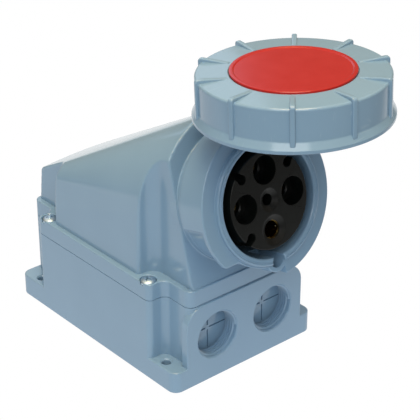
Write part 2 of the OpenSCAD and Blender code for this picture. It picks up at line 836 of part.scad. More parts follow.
// Wire ring that presses a sleeve's fingers together
module spring_ring(outer_r, front) {
    translate([0, 0, front - ring_setback]) rotate_extrude()
        translate([outer_r - spring_wire_r - fit_gap, 0]) circle(spring_wire_r, $fn = 24);
}

module sleeve_rings() {
    color(steel) at_mouth() {
        for (turn = phase_turns)
            translate(contact_place(turn)) spring_ring(phase_pin_r + sleeve_wall, phase_front);
        translate(contact_place(earth_turn)) spring_ring(earth_pin_r + sleeve_wall, earth_front);
        spring_ring(pilot_pin_r + pilot_wall, phase_front);
    }
}

// Slotted screw that closes a terminal barrel, pointing at the barrel's axis
module terminal_screw(pin, thickness, turn) {
    len = thickness + terminal_reach;
    slot_w = 0.8;
    slot_depth = 1;
    translate([0, 0, terminal_depth]) rotate([0, 90, turn])
        translate([0, 0, pin - terminal_bite]) difference() {
            cylinder(r = terminal_screw_r, h = len, $fn = 48);
            translate([0, 0, len]) cube([4 * terminal_screw_r, slot_w, 2 * slot_depth], center = true);
        }
}

module terminal_screws() {
    color(steel) at_mouth() {
        for (turn = phase_turns)
            translate(contact_place(turn)) terminal_screw(phase_pin_r, sleeve_wall, turn);
        translate(contact_place(earth_turn)) terminal_screw(earth_pin_r, sleeve_wall, earth_turn);
        terminal_screw(pilot_pin_r, pilot_wall, pilot_screw_turn);
    }
}

// Plate, hub and skirt, turned, with the hinge arm that leaves through the ring's window
module lid_cap() {
    arm_out = hinge_up + arm_t / 2;
    color(grey) at_lid() difference() {
        union() {
            translate([0, 0, cap_under]) cylinder(r = cap_r, h = cap_t);
            translate([0, 0, cap_top - eps]) cylinder(r = hub_r, h = disc_k - cap_top + eps);
            translate([0, 0, skirt_k]) difference() {
                cylinder(r = cap_skirt_r, h = cap_under - skirt_k + eps);
                translate([0, 0, -eps])
                    cylinder(r = cap_skirt_r - cap_skirt_wall, h = cap_under - skirt_k + eps);
            }
            translate([-arm_w / 2, hub_r, cap_under]) cube([arm_w, arm_out - hub_r, cap_t]);
            translate([-arm_w / 2, arm_out - arm_t, -hinge_depth])
                cube([arm_w, arm_t, hinge_depth + cap_top]);
            on_hinge(knuckle_r, -arm_w / 2, arm_w / 2);
        }
        on_hinge(pin_r + pin_gap, -arm_w, arm_w);
        translate([0, 0, disc_k - stem_l - run_gap])
            cylinder(r = stem_r + fit_gap, h = stem_l + run_gap + eps);
    }
}

module lid_gasket() {
    seat_r = cap_skirt_r - cap_skirt_wall - fit_gap;
    lap = 1.5;
    color(rubber) at_lid() translate([0, 0, cap_under - lid_gasket_t]) difference() {
        cylinder(r = seat_r, h = lid_gasket_t);
        translate([0, 0, -eps]) cylinder(r = mouth_r - lap, h = lid_gasket_t + 2 * eps);
    }
}

// Section of the locking ring, with a rounded top edge and a flared foot
module ring_section() {
    edge_r = 1.5;
    edge = [for (a = [90:-15:0])
        [ring_r - edge_r + edge_r * cos(a), ring_edge - edge_r + edge_r * sin(a)]];
    foot_top = ring_foot + ring_foot_h;
    foot_rim = 2.2;
    bevel = 0.6;
    polygon(concat(
        [[ring_bore_r, ring_foot], [ring_bore_r, ring_under], [ring_hole_r, ring_under],
         [ring_hole_r, ring_top], [disc_r + run_gap, ring_top], [disc_r + run_gap, ring_top + disc_seat]],
        edge,
        [[ring_r, foot_top], [ring_foot_r - bevel, ring_foot + foot_rim + bevel],
         [ring_foot_r, ring_foot + foot_rim], [ring_foot_r, ring_foot + bevel],
         [ring_foot_r - bevel, ring_foot]]
    ));
}

// Rib that runs over the ring's top and down its wall
module ring_rib() {
    start_r = disc_r + 2;
    root_r = (ring_bore_r + ring_r) / 2;
    out_r = ring_r + rib_side;
    top = ring_edge + rib_h;
    foot = ring_foot + ring_foot_h / 2;
    rotate([90, 0, 0]) linear_extrude(rib_w, center = true) polygon([
        [start_r, ring_top], [start_r, ring_top + disc_seat - eps / 2], [ring_r - 2 * rib_h, top],
        [ring_r, top], [out_r, top - rib_h / 2], [out_r, foot], [root_r, foot], [root_r, ring_top]
    ]);
}

module lock_ring() {
    color(grey) at_lid() {
        difference() {
            union() {
                rotate_extrude() ring_section();
                for (i = [0:rib_count - 1]) rotate([0, 0, rib_phase + i * 360 / rib_count]) ring_rib();
            }
            sector(ring_bore_r - eps, ring_foot_r + eps, ring_foot - eps, ring_under,
                   window_start, window_turn);
        }
        for (half = [0, 180])
            sector(lug_r, ring_bore_r + eps, ring_foot, lug_top, lug_start + half, lug_angle);
    }
}

// Red disc with a raised rim, held by a stem in the hub
module lid_disc() {
    rim = 2.2;
    sink = 0.5;
    bevel = 0.6;
    face = lid_top - sink;
    color(red) at_lid() {
        rotate_extrude() polygon([
            [0, disc_k], [disc_r - bevel, disc_k], [disc_r, disc_k + bevel], [disc_r, lid_top - bevel],
            [disc_r - bevel, lid_top], [disc_r - rim, lid_top], [disc_r - rim - bevel, face], [0, face]
        ]);
        translate([0, 0, disc_k - stem_l]) cylinder(r = stem_r, h = stem_l + eps);
    }
}

module hinge_pin() {
    color(steel) at_mouth() on_hinge(pin_r, -ear_out, ear_out);
}

module hinge_washers() {
    color(steel) at_mouth() for (sx = [-1, 1]) scale([sx, 1, 1]) difference() {
        on_hinge(knuckle_r - washer_inset, arm_w / 2 + fit_gap, arm_w / 2 + fit_gap + washer_t);
        on_hinge(pin_r + fit_gap, 0, arm_w);
    }
}

base_box();
box_gasket();
hood();
cover_screws();
socket_collar();
collar_seal();
collar_clip();
contact_carrier();
carrier_screws();
carrier_back();
back_screws();
phase_sleeve(0);  // phase_sleeve_right
phase_sleeve(90);  // phase_sleeve_top
phase_sleeve(180);  // phase_sleeve_left
earth_sleeve();
pilot_sleeve();
sleeve_rings();
terminal_screws();
lid_cap();
lid_gasket();
lock_ring();
lid_disc();
hinge_pin();
hinge_washers();
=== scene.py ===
import json
import math

import bmesh
import bpy
from mathutils import Matrix, Vector


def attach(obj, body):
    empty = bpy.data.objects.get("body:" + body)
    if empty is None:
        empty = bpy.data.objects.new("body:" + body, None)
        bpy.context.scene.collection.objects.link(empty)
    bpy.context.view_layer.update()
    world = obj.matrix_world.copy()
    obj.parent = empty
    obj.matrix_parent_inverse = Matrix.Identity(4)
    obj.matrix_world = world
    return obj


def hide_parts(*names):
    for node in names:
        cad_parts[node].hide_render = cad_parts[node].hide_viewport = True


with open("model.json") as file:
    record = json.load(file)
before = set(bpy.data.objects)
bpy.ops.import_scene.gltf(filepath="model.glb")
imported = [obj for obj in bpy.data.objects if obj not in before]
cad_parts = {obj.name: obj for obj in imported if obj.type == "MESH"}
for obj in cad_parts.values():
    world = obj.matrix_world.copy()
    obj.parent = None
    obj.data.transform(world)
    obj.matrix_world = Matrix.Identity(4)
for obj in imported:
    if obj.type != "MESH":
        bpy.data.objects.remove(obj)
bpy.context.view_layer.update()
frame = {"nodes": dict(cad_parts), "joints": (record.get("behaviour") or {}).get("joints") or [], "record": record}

# Base box: the moulded wall box with its four feet, the flat pad in front and two cable entries.
# Glass-filled polyamide, injection moulded in one shot, with small rounds on every outer edge.
# The plan follows the CAD base, and the round edges are made before the blocks are joined.
MM = 0.001


def arc(x, y, radius, start, end, steps):
    """Points along a round corner of an outline, from one angle to another."""
    turns = [math.radians(start + (end - start) * i / steps) for i in range(steps + 1)]
    return [(x + radius * math.cos(t), y + radius * math.sin(t)) for t in turns]


def housing_outline(wide, side, narrow, long, side_r, end_r, hollow_r, inset=0.0):
    """The housing's plan: two crossed rectangles with hollow corners for the screws, moved in by inset."""
    half_wide, half_side = wide / 2 - inset, side / 2 - inset
    half_narrow, half_long = narrow / 2 - inset, long / 2 - inset
    side_r, end_r, hollow_r = side_r - inset, end_r - inset, hollow_r + inset
    quarter = (arc(half_wide - side_r, half_side - side_r, side_r, 0, 90, 8)
               + arc(half_narrow + hollow_r, half_side + hollow_r, hollow_r, 270, 180, 14)
               + arc(half_narrow - end_r, half_long - end_r, end_r, 0, 90, 10))
    left = [(-x, y) for x, y in reversed(quarter)]
    return quarter + left + [(-x, -y) for x, y in quarter] + [(x, -y) for x, y in reversed(quarter)]


def block(outline, low, high):
    """A moulded block: an outline drawn in plan and raised from one height to another."""
    bm = bmesh.new()
    face = bm.faces.new([bm.verts.new((x, y, low)) for x, y in outline])
    raised = bmesh.ops.extrude_face_region(bm, geom=[face])["geom"]
    top = [g for g in raised if isinstance(g, bmesh.types.BMVert)]
    bmesh.ops.translate(bm, vec=(0, 0, high - low), verts=top)
    bmesh.ops.recalc_face_normals(bm, faces=bm.faces)
    return bm


def round_rim(bm, height, radius, segments=3):
    """Rounds the edges that run round a block at one height."""
    level = [e for e in bm.edges if all(abs(v.co.z - height) < 1e-7 for v in e.verts)]
    rim = [e for e in level if e.calc_face_angle(1) > 0.2]
    bmesh.ops.bevel(bm, geom=rim, offset=radius, offset_type="OFFSET", affect="EDGES", segments=segments,
                    profile=0.5, material=-1, clamp_overlap=False)


def join_or_cut(kept, tool, operation):
    """Joins two blocks (UNION), cuts one from the other (DIFFERENCE) or keeps their overlap (INTERSECT)."""
    pair = []
    for part in (kept, tool):
        mesh = bpy.data.meshes.new("block")
        part.to_mesh(mesh)
        part.free()
        pair.append(bpy.data.objects.new("block", mesh))
        bpy.context.collection.objects.link(pair[-1])
    cut = pair[0].modifiers.new("cut", "BOOLEAN")
    cut.operation, cut.object, cut.solver = operation, pair[1], "EXACT"
    result = bmesh.new()
    result.from_object(pair[0], bpy.context.evaluated_depsgraph_get())
    for done in pair:
        mesh = done.data
        bpy.data.objects.remove(done)
        bpy.data.meshes.remove(mesh)
    return result


def turned(profile, steps, angle=360.0):
    """A turned piece: a closed profile of (radius, height) points spun about Z."""
    bm = bmesh.new()
    rim = [bm.verts.new((r, 0, z)) for r, z in profile]
    on_axis = profile[0][0] < 1e-9 and profile[-1][0] < 1e-9
    edges = [bm.edges.new((rim[i - 1], rim[i])) for i in range(1 if on_axis else 0, len(rim))]
    full = angle > 359.9
    if not full:
        bm.faces.new(rim)
    bmesh.ops.spin(bm, geom=rim + edges + list(bm.faces), cent=(0, 0, 0), axis=(0, 0, 1),
                   angle=math.radians(angle), steps=steps, use_merge=full)
    bmesh.ops.remove_doubles(bm, verts=bm.verts, dist=1e-7)
    bmesh.ops.recalc_face_normals(bm, faces=bm.faces)
    return bm


def rod(radius, low, high, steps):
    """A plain round rod about Z, mostly used to drill a hole."""
    return turned([(0, low), (radius, low), (radius, high), (0, high)], steps)


def add_block(bm, other):
    """Puts a second block into the same mesh, for blocks that don't touch each other."""
    mesh = bpy.data.meshes.new("block")
    other.to_mesh(mesh)
    other.free()
    bm.from_mesh(mesh)
    bpy.data.meshes.remove(mesh)


def finish_piece(bm, name, material, body, slot, *nodes, crease=34):
    """Makes the finished piece, smooth but for its creases, on its body and in place of its CAD nodes."""
    bmesh.ops.remove_doubles(bm, verts=bm.verts, dist=1e-6)
    for face in bm.faces:
        face.smooth = True
    for edge in bm.edges:
        edge.smooth = len(edge.link_faces) == 2 and edge.calc_face_angle(0) < math.radians(crease)
    mesh = bpy.data.meshes.new(name)
    bm.to_mesh(mesh)
    bm.free()
    mesh.materials.append(material)
    piece = bpy.data.objects.new(name, mesh)
    bpy.context.collection.objects.link(piece)
    flat = piece.modifiers.new("flat faces stay flat", "WEIGHTED_NORMAL")
    flat.keep_sharp = True
    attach(piece, body)
    if nodes:
        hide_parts(*nodes)


def linear(hex_colour):
    """An sRGB hex colour as linear red, green, blue and alpha."""
    parts = [int(hex_colour[i:i + 2], 16) / 255 for i in (1, 3, 5)]
    return [p / 12.92 if p <= 0.04045 else ((p + 0.055) / 1.055) ** 2.4 for p in parts] + [1.0]


def add_node(material, kind, inputs, **settings):
    """Adds one node to a material, with its settings, its values and the links into it."""
    made = material.node_tree.nodes.new(kind)
    for name, value in settings.items():
        setattr(made, name, value)
    for name, value in inputs.items():
        if isinstance(value, bpy.types.NodeSocket):
            material.node_tree.links.new(value, made.inputs[name])
        else:
            made.inputs[name].default_value = value
    return made


def new_material(name):
    """A material with its shader and the Object coordinates that its patterns read."""
    material = bpy.data.materials.new(name)
    material.use_nodes = True
    where = add_node(material, "ShaderNodeTexCoord", {}).outputs["Object"]
    return material, material.node_tree.nodes["Principled BSDF"], where


# A Mix node has its own sockets for each kind of data, and these are the ones for colours
FIRST_COLOUR, SECOND_COLOUR, MIXED_COLOUR = 6, 7, 2

# Moulded polyamide from a polished tool: a smooth skin with a clear shine, slightly cloudy in
# colour and faintly rippled where the melt flowed. Its grain of about 0.1 mm is too fine to
# show, so it is drawn at 0.9 mm.
cloud_size, ripple_size, grain_size = 38 * MM, 16 * MM, 0.9 * MM
ripple_high, grain_high = 0.12 * MM, 0.04 * MM
housing_plastic, shader, where = new_material("satin_moulded_polyamide_grey")
cloud = add_node(housing_plastic, "ShaderNodeTexNoise", {
    "Vector": where, "Scale": 1 / cloud_size, "Detail": 3.0})
grain = add_node(housing_plastic, "ShaderNodeTexNoise", {
    "Vector": where, "Scale": 1 / grain_size, "Detail": 2.0})
tone = add_node(housing_plastic, "ShaderNodeMix", {
    "Factor": cloud.outputs["Fac"], FIRST_COLOUR: linear("#7394b0"), SECOND_COLOUR: linear("#7b9cb8")},
    data_type="RGBA", name="tone")
sheen = add_node(housing_plastic, "ShaderNodeMapRange", {
    "Value": cloud.outputs["Fac"], "To Min": 0.1, "To Max": 0.17}, name="sheen")
ripple = add_node(housing_plastic, "ShaderNodeTexNoise", {
    "Vector": where, "Scale": 1 / ripple_size, "Detail": 1.0})
flow = add_node(housing_plastic, "ShaderNodeBump", {
    "Height": ripple.outputs["Fac"], "Strength": 0.3, "Distance": ripple_high})
skin = add_node(housing_plastic, "ShaderNodeBump", {
    "Height": grain.outputs["Fac"], "Strength": 0.06, "Distance": grain_high,
    "Normal": flow.outputs["Normal"]})
links = housing_plastic.node_tree.links
links.new(tone.outputs[MIXED_COLOUR], shader.inputs["Base Color"])
links.new(sheen.outputs["Result"], shader.inputs["Roughness"])
links.new(skin.outputs["Normal"], shader.inputs["Normal"])
shader.inputs["IOR"].default_value = 1.53

# The plate with the four feet, then the walls up to the parting line
foot_wide, foot_long, foot_high, foot_r = 112 * MM, 158 * MM, 14 * MM, 6 * MM
foot_round, under_round, joint_round = 1.0 * MM, 0.5 * MM, 0.35 * MM
base_plan = dict(wide=112 * MM, side=112 * MM, narrow=87 * MM, long=156 * MM,
                 side_r=3.5 * MM, end_r=5 * MM, hollow_r=5 * MM)
parting, seam, wall, floor_thick = 54 * MM, 0.12 * MM, 3 * MM, 3.5 * MM
walls_low, base_top, past_parting = 1 * MM, parting - seam, parting + 2 * MM
foot_corners = [(side_x, side_y) for side_x in (-1, 1) for side_y in (-1, 1)]
foot_outline = []
for side_x, side_y, start in ((1, 1, 0), (-1, 1, 90), (-1, -1, 180), (1, -1, 270)):
    foot_x, foot_y = side_x * (foot_wide / 2 - foot_r), side_y * (foot_long / 2 - foot_r)
    foot_outline += arc(foot_x, foot_y, foot_r, start, start + 90, 10)
base = block(foot_outline, 0, foot_high)
round_rim(base, foot_high, foot_round)
round_rim(base, 0, under_round, 2)
walls = block(housing_outline(**base_plan), walls_low, base_top)
round_rim(walls, base_top, joint_round, 2)
base = join_or_cut(base, walls, "UNION")

# The pad is drawn lying down and turned to face the front
pad_half, pad_top, pad_r, pad_front, pad_back = 46 * MM, 53.7 * MM, 13 * MM, 79 * MM, 74 * MM
pad_low, pad_round = 4 * MM, 0.7 * MM
pad_outline = ([(-pad_half, pad_low), (pad_half, pad_low)]
               + arc(pad_half - pad_r, pad_top - pad_r, pad_r, 0, 90, 20)
               + arc(pad_r - pad_half, pad_top - pad_r, pad_r, 90, 180, 20))
pad = block(pad_outline, pad_back, pad_front)
round_rim(pad, pad_front, pad_round)
bmesh.ops.rotate(pad, cent=(0, 0, 0), matrix=Matrix.Rotation(math.radians(90), 3, "X"), verts=pad.verts)
base = join_or_cut(base, pad, "UNION")

# The room inside is open at the parting line
inner_room = block(housing_outline(**base_plan, inset=wall), floor_thick, past_parting)
base = join_or_cut(base, inner_room, "DIFFERENCE")

# Each cable entry is a short tube, closed by a membrane with a scored cross
entry_x, entry_z, entry_r, entry_deep = 22.1 * MM, 29 * MM, 15.2 * MM, 10 * MM
entry_wall, entry_bevel, membrane = 2.4 * MM, 0.7 * MM, 1.6 * MM
score_wide, score_deep, score_from, score_to = 1 * MM, 1 * MM, 1.5 * MM, 14.2 * MM
entry_floor, past_pad = pad_front - entry_deep, pad_front + 1 * MM
tube_r, tube_back, tube_front = entry_r + entry_wall, entry_floor - membrane, pad_front - 1.5 * MM
entry_mouth_r = entry_r + entry_bevel
to_front = Matrix.Rotation(math.radians(90), 4, "X")
for side_x in (-1, 1):
    at_entry = Matrix.Translation((side_x * entry_x, 0, entry_z)) @ to_front
    tube = rod(tube_r, tube_back, tube_front, 64)
    tube.transform(at_entry)
    base = join_or_cut(base, tube, "UNION")
    hole = turned([(0, entry_floor), (entry_r, entry_floor), (entry_r, pad_front - entry_bevel),
                   (entry_mouth_r, pad_front), (entry_mouth_r, past_pad), (0, past_pad)], 96)
    hole.transform(at_entry)
    base = join_or_cut(base, hole, "DIFFERENCE")
    scores = bmesh.new()
    for turn in range(4):
        place = at_entry @ Matrix.Rotation(math.radians(90 * turn), 4, "Z") @ Matrix.Translation(
            ((score_from + score_to) / 2, 0, entry_floor)) @ Matrix.Diagonal(
            (score_to - score_from, score_wide, 2 * score_deep, 1))
        bmesh.ops.create_cube(scores, size=1, matrix=place)
    base = join_or_cut(base, scores, "DIFFERENCE")

# Each foot is hollow from below round a post, and the fixing hole goes through the post
fix_x, fix_y, fix_r, fix_bevel = 50 * MM, 64 * MM, 2.75 * MM, 0.8 * MM
pocket_x, pocket_y, post_r = 49.75 * MM, 67.5 * MM, 4.6 * MM
pocket_wide, pocket_long, pocket_high = 7.3 * MM, 17.8 * MM, 11.4 * MM
pocket_under, below_foot, past_foot = 2 * MM, -1 * MM, foot_high + 3 * MM
post_low, post_high = -4 * MM, 20 * MM
for side_x, side_y in foot_corners:
    at_fixing = Matrix.Translation((side_x * fix_x, side_y * fix_y, 0))
    pocket = bmesh.new()
    middle = Matrix.Translation((side_x * pocket_x, side_y * pocket_y, (pocket_high - pocket_under) / 2))
    bmesh.ops.create_cube(pocket, size=1, matrix=middle @ Matrix.Diagonal(
        (pocket_wide, pocket_long, pocket_high + pocket_under, 1)))
    post = rod(post_r, post_low, post_high, 40)
    post.transform(at_fixing)
    pocket = join_or_cut(pocket, post, "DIFFERENCE")
    base = join_or_cut(base, pocket, "DIFFERENCE")
    drill = turned([(0, below_foot), (fix_r, below_foot), (fix_r, foot_high - fix_bevel),
                    (fix_r + fix_bevel, foot_high), (fix_r + fix_bevel, past_foot), (0, past_foot)], 40)
    drill.transform(at_fixing)
    base = join_or_cut(base, drill, "DIFFERENCE")
finish_piece(base, "wall_box", housing_plastic, "housing", "housing_grey", "base_box")

# Threads of the cable entries: a fine single-start thread moulded inside each entry.
# The same polyamide as the box. Each is a ridge of triangular section, wound as a helix; the real
# pitch of 1.5 mm is too fine to show, so it is wound at 2 mm.
thread_pitch, thread_deep, thread_turns, turn_steps = 2.0 * MM, 1.0 * MM, 4.2, 48
thread_root, thread_crest, thread_start = entry_r + 0.3 * MM, entry_r - thread_deep, pad_front - 0.9 * MM
ridge_half, ridge_wide = 0.65 * MM, 1.3 * MM
ridge_section = ((thread_root, 0, thread_start), (thread_crest, 0, thread_start - ridge_half),
                 (thread_root, 0, thread_start - ridge_wide))
for side_x, side in ((-1, "left"), (1, "right")):
    thread = bmesh.new()
    ridge = [thread.verts.new(point) for point in ridge_section]
    thread.faces.new(ridge)
    bmesh.ops.spin(thread, geom=list(thread.faces) + list(thread.edges) + ridge, cent=(0, 0, 0),
                   axis=(0, 0, 1), dvec=(0, 0, -thread_pitch / turn_steps),
                   angle=math.radians(360 * thread_turns), steps=int(thread_turns * turn_steps),
                   use_merge=False)
    bmesh.ops.recalc_face_normals(thread, faces=thread.faces)
    thread.transform(Matrix.Translation((side_x * entry_x, 0, entry_z)) @ to_front)
    finish_piece(thread, "entry_thread_" + side, housing_plastic, "housing", "housing_grey", crease=50)

# Hood: the moulded cover, with its flange, the dome from the low rear wall to the round arch, the
# corner flutes and the short neck that takes the collar. Same polyamide, with generous rounds. The dome
# is rounded all over, flange and neck join it, then the inside and the screws' recesses are cut.
dome_plan = dict(wide=106 * MM, side=84 * MM, narrow=80 * MM, long=156 * MM,
                 side_r=3.2 * MM, end_r=3.2 * MM, hollow_r=8 * MM)
dome_half, dome_foot, arch_r, slab = 53 * MM, 61.6 * MM, 51 * MM, 2 * MM
rear_wall, roof_y, roof_z, roof_half, roof_r = 75.5 * MM, 69 * MM, 84 * MM, 50 * MM, 4 * MM
crown, crown_r, crown_steps = 3.3 * MM, 380.4 * MM, 8
face_depth, flange_top, above_roof, tilt = -34.5 * MM, 65 * MM, 180 * MM, math.radians(15)
mouth = next(m for m in frame["record"]["mounts"] if m["name"] == "socket_mouth")


def frame_on(point, axis):
    """A frame with its Z along an axis that has no X part, its X along X, and its origin at a point."""
    x, z = Vector((1, 0, 0)), Vector(axis).normalized()
    return Matrix.Translation(point) @ Matrix((x, z.cross(x), z)).transposed().to_4x4()


socket = frame_on(mouth["pos_m"], mouth["axis"])


def hood_loft(inset):
    """The hull from the rear wall and the roof's rear edge to the arch of the leaning face."""
    bm = bmesh.new()
    face, half = face_depth - inset, dome_half - inset
    foot_drop = (dome_foot - mouth["pos_m"][2]) / math.cos(tilt) + face_depth * math.tan(tilt)
    for depth in (face, face - slab):
        bmesh.ops.create_circle(bm, segments=160, radius=arch_r - inset,
                                matrix=socket @ Matrix.Translation((0, 0, depth)))
    front_foot = socket @ Matrix.Translation((0, foot_drop + slab / 2, face - slab / 2))
    rear_foot = Matrix.Translation((0, rear_wall - inset - slab / 2, dome_foot + slab / 2))
    for foot in (front_foot, rear_foot):
        bmesh.ops.create_cube(bm, size=1, matrix=foot @ Matrix.Diagonal((2 * half, slab, slab, 1)))
    reach = math.asin((roof_half - inset) / crown_r)
    for turn in (reach * step / crown_steps for step in range(-crown_steps, crown_steps + 1)):
        place = (crown_r * math.sin(turn), roof_y, roof_z + crown - crown_r * (1 - math.cos(turn)))
        at_roof = Matrix.Translation(place) @ Matrix.Rotation(math.radians(90) + turn, 4, "Y")
        bmesh.ops.create_circle(bm, segments=48, radius=roof_r - inset, matrix=at_roof)
    bmesh.ops.delete(bm, geom=list(bm.edges) + list(bm.faces), context="EDGES_FACES")
    made = bmesh.ops.convex_hull(bm, input=bm.verts)
    spare = set(made["geom_interior"] + made["geom_unused"])
    bmesh.ops.delete(bm, geom=[g for g in spare if isinstance(g, bmesh.types.BMVert)], context="VERTS")
    bmesh.ops.dissolve_limit(bm, angle_limit=math.radians(0.3), verts=bm.verts, edges=bm.edges)
    bmesh.ops.recalc_face_normals(bm, faces=bm.faces)
    return bm


def hood_dome(inset, low):
    """The loft with its four flutes, moved in by inset and cut off at one height."""
    fluted = block(housing_outline(**dome_plan, inset=inset), low, above_roof)
    return join_or_cut(hood_loft(inset), fluted, "INTERSECT")


def round_all_over(bm, voxel, passes):
    """Rounds every edge and corner, as the tool's own rounds do: an even fine mesh, then smoothed."""
    mesh = bpy.data.meshes.new("moulding")
    bm.to_mesh(mesh)
    bm.free()
    rough = bpy.data.objects.new("moulding", mesh)
    bpy.context.collection.objects.link(rough)
    fine = rough.modifiers.new("fine", "REMESH")
    fine.mode, fine.voxel_size, fine.adaptivity = "VOXEL", voxel, 0.0
    result = bmesh.new()
    result.from_object(rough, bpy.context.evaluated_depsgraph_get())
    bpy.data.objects.remove(rough)
    bpy.data.meshes.remove(mesh)
    for _ in range(passes):
        bmesh.ops.smooth_vert(result, verts=result.verts, factor=0.5,
                              use_axis_x=True, use_axis_y=True, use_axis_z=True)
    return result


# The dome is made too deep, and its rounded foot is cut off level inside the flange
dome_low, dome_cut = parting - 5 * MM, parting + 1 * MM
hood = round_all_over(hood_dome(0, dome_low), voxel=0.72 * MM, passes=4)
whole = list(hood.verts) + list(hood.edges) + list(hood.faces)
level = bmesh.ops.bisect_plane(hood, geom=whole, dist=1e-7, plane_co=(0, 0, dome_cut), plane_no=(0, 0, 1),
                               clear_inner=True)
bmesh.ops.edgeloop_fill(hood, edges=[g for g in level["geom_cut"] if isinstance(g, bmesh.types.BMEdge)])
bmesh.ops.recalc_face_normals(hood, faces=hood.faces)
hood_low, flange_round = parting + seam, 0.8 * MM
flange = block(housing_outline(**base_plan), hood_low, flange_top)
round_rim(flange, flange_top, flange_round)
round_rim(flange, hood_low, joint_round, 2)
hood = join_or_cut(flange, hood, "UNION")

neck_r, neck_front, neck_fillet, neck_edge = 39.8 * MM, -30.5 * MM, 0.8 * MM, 0.45 * MM
neck_root = face_depth - 6 * MM
neck = turned([(0, neck_root), (neck_r + neck_fillet, neck_root)]
              + arc(neck_r + neck_fillet, face_depth + neck_fillet, neck_fillet, 270, 180, 4)
              + arc(neck_r - neck_edge, neck_front - neck_edge, neck_edge, 0, 90, 4)
              + [(0, neck_front)], 160)
neck.transform(socket)
hood = join_or_cut(hood, neck, "UNION")

# The inside follows the outside at the wall's thickness, and opens through the neck
below_parting, flange_hollow = parting - 2 * MM, 61.9 * MM
neck_bore_r, neck_bore_back, neck_bore_front = 36.3 * MM, -45 * MM, -25 * MM
hollow = block(housing_outline(**base_plan, inset=wall), below_parting, flange_hollow)
hollow = join_or_cut(hollow, hood_dome(wall, parting), "UNION")
bore = rod(neck_bore_r, neck_bore_back, neck_bore_front, 128)
bore.transform(socket)
hollow = join_or_cut(hollow, bore, "UNION")
hood = join_or_cut(hood, hollow, "DIFFERENCE")

# The recesses of the screws stand so near the flange's edge that they break out of it
screw_x, screw_y, head_r, seat_z = 51 * MM, 49.5 * MM, 4.7 * MM, 62.8 * MM
recess_r, recess_bevel = head_r + 0.45 * MM, 0.5 * MM
bevel_low, bevel_top, past_flange = flange_top - 0.4 * MM, flange_top + 0.1 * MM, flange_top + 4 * MM
for side_x, side_y in foot_corners:
    recess = turned([(0, seat_z), (recess_r, seat_z), (recess_r, bevel_low),
                     (recess_r + recess_bevel, bevel_top), (recess_r + recess_bevel, past_flange),
                     (0, past_flange)], 48)
    recess.transform(Matrix.Translation((side_x * screw_x, side_y * screw_y, 0)))
    hood = join_or_cut(hood, recess, "DIFFERENCE")
finish_piece(hood, "hood_moulding", housing_plastic, "housing", "housing_grey", "hood", crease=40)

# Cover screws: four pan-head screws with a cross recess that hold the hood on the base.
# Zinc-plated steel, cold-headed. Each is turned, and two tapered slots cut its recess.

# Zinc plating: a bright, slightly bluish metal, clouded where the bath left it uneven.
zinc_steel, shader, where = new_material("bright_zinc_plated_steel")
bath_size = 2.5 * MM
bath = add_node(zinc_steel, "ShaderNodeTexNoise", {"Vector": where, "Scale": 1 / bath_size, "Detail": 4.0})
plate = add_node(zinc_steel, "ShaderNodeMix", {
    "Factor": bath.outputs["Fac"], FIRST_COLOUR: linear("#a8c0d2"), SECOND_COLOUR: linear("#d0e4f2")},
    data_type="RGBA")
dull = add_node(zinc_steel, "ShaderNodeMapRange", {
    "Value": bath.outputs["Fac"], "To Min": 0.34, "To Max": 0.5})
links = zinc_steel.node_tree.links
links.new(plate.outputs[MIXED_COLOUR], shader.inputs["Base Color"])
links.new(dull.outputs["Result"], shader.inputs["Roughness"])
shader.inputs["Metallic"].default_value = 1.0

head_high, rim_high, head_edge, shank_r, shank_deep = 3 * MM, 1.0 * MM, 0.3 * MM, 2.4 * MM, 9 * MM
dome_turns = [math.radians(angle) for angle in range(0, 90, 9)]
head_dome = [(head_r * math.cos(t), rim_high + (head_high - rim_high) * math.sin(t)) for t in dome_turns]
screw_profile = ([(0, -shank_deep), (shank_r, -shank_deep), (shank_r, 0), (head_r - head_edge, 0),
                  (head_r, head_edge)] + head_dome + [(0, head_high)])
slot_long, slot_wide, slot_high, slot_taper = 6.0 * MM, 1.5 * MM, 3.0 * MM, 0.55
slot_middle = head_high - 0.4 * MM
screw_turns = (20, 65, 40, 8)
screws = bmesh.new()
for turn, (side_x, side_y) in zip(screw_turns, foot_corners):
    screw = turned(screw_profile, 48)
    for quarter in (0, 90):
        slot = bmesh.new()
        bmesh.ops.create_cube(slot, size=1, matrix=Matrix.Rotation(math.radians(quarter), 4, "Z")
                              @ Matrix.Translation((0, 0, slot_middle))
                              @ Matrix.Diagonal((slot_long, slot_wide, slot_high, 1)))
        low = [v for v in slot.verts if v.co.z < slot_middle]
        bmesh.ops.scale(slot, vec=(slot_taper, slot_taper, 1), verts=low)
        screw = join_or_cut(screw, slot, "DIFFERENCE")
    screw.transform(Matrix.Translation((side_x * screw_x, side_y * screw_y, seat_z))
                    @ Matrix.Rotation(math.radians(turn), 4, "Z"))
    add_block(screws, screw)
finish_piece(screws, "pan_head_screws", zinc_steel, "housing", "zinc_steel", "cover_screws", crease=30)

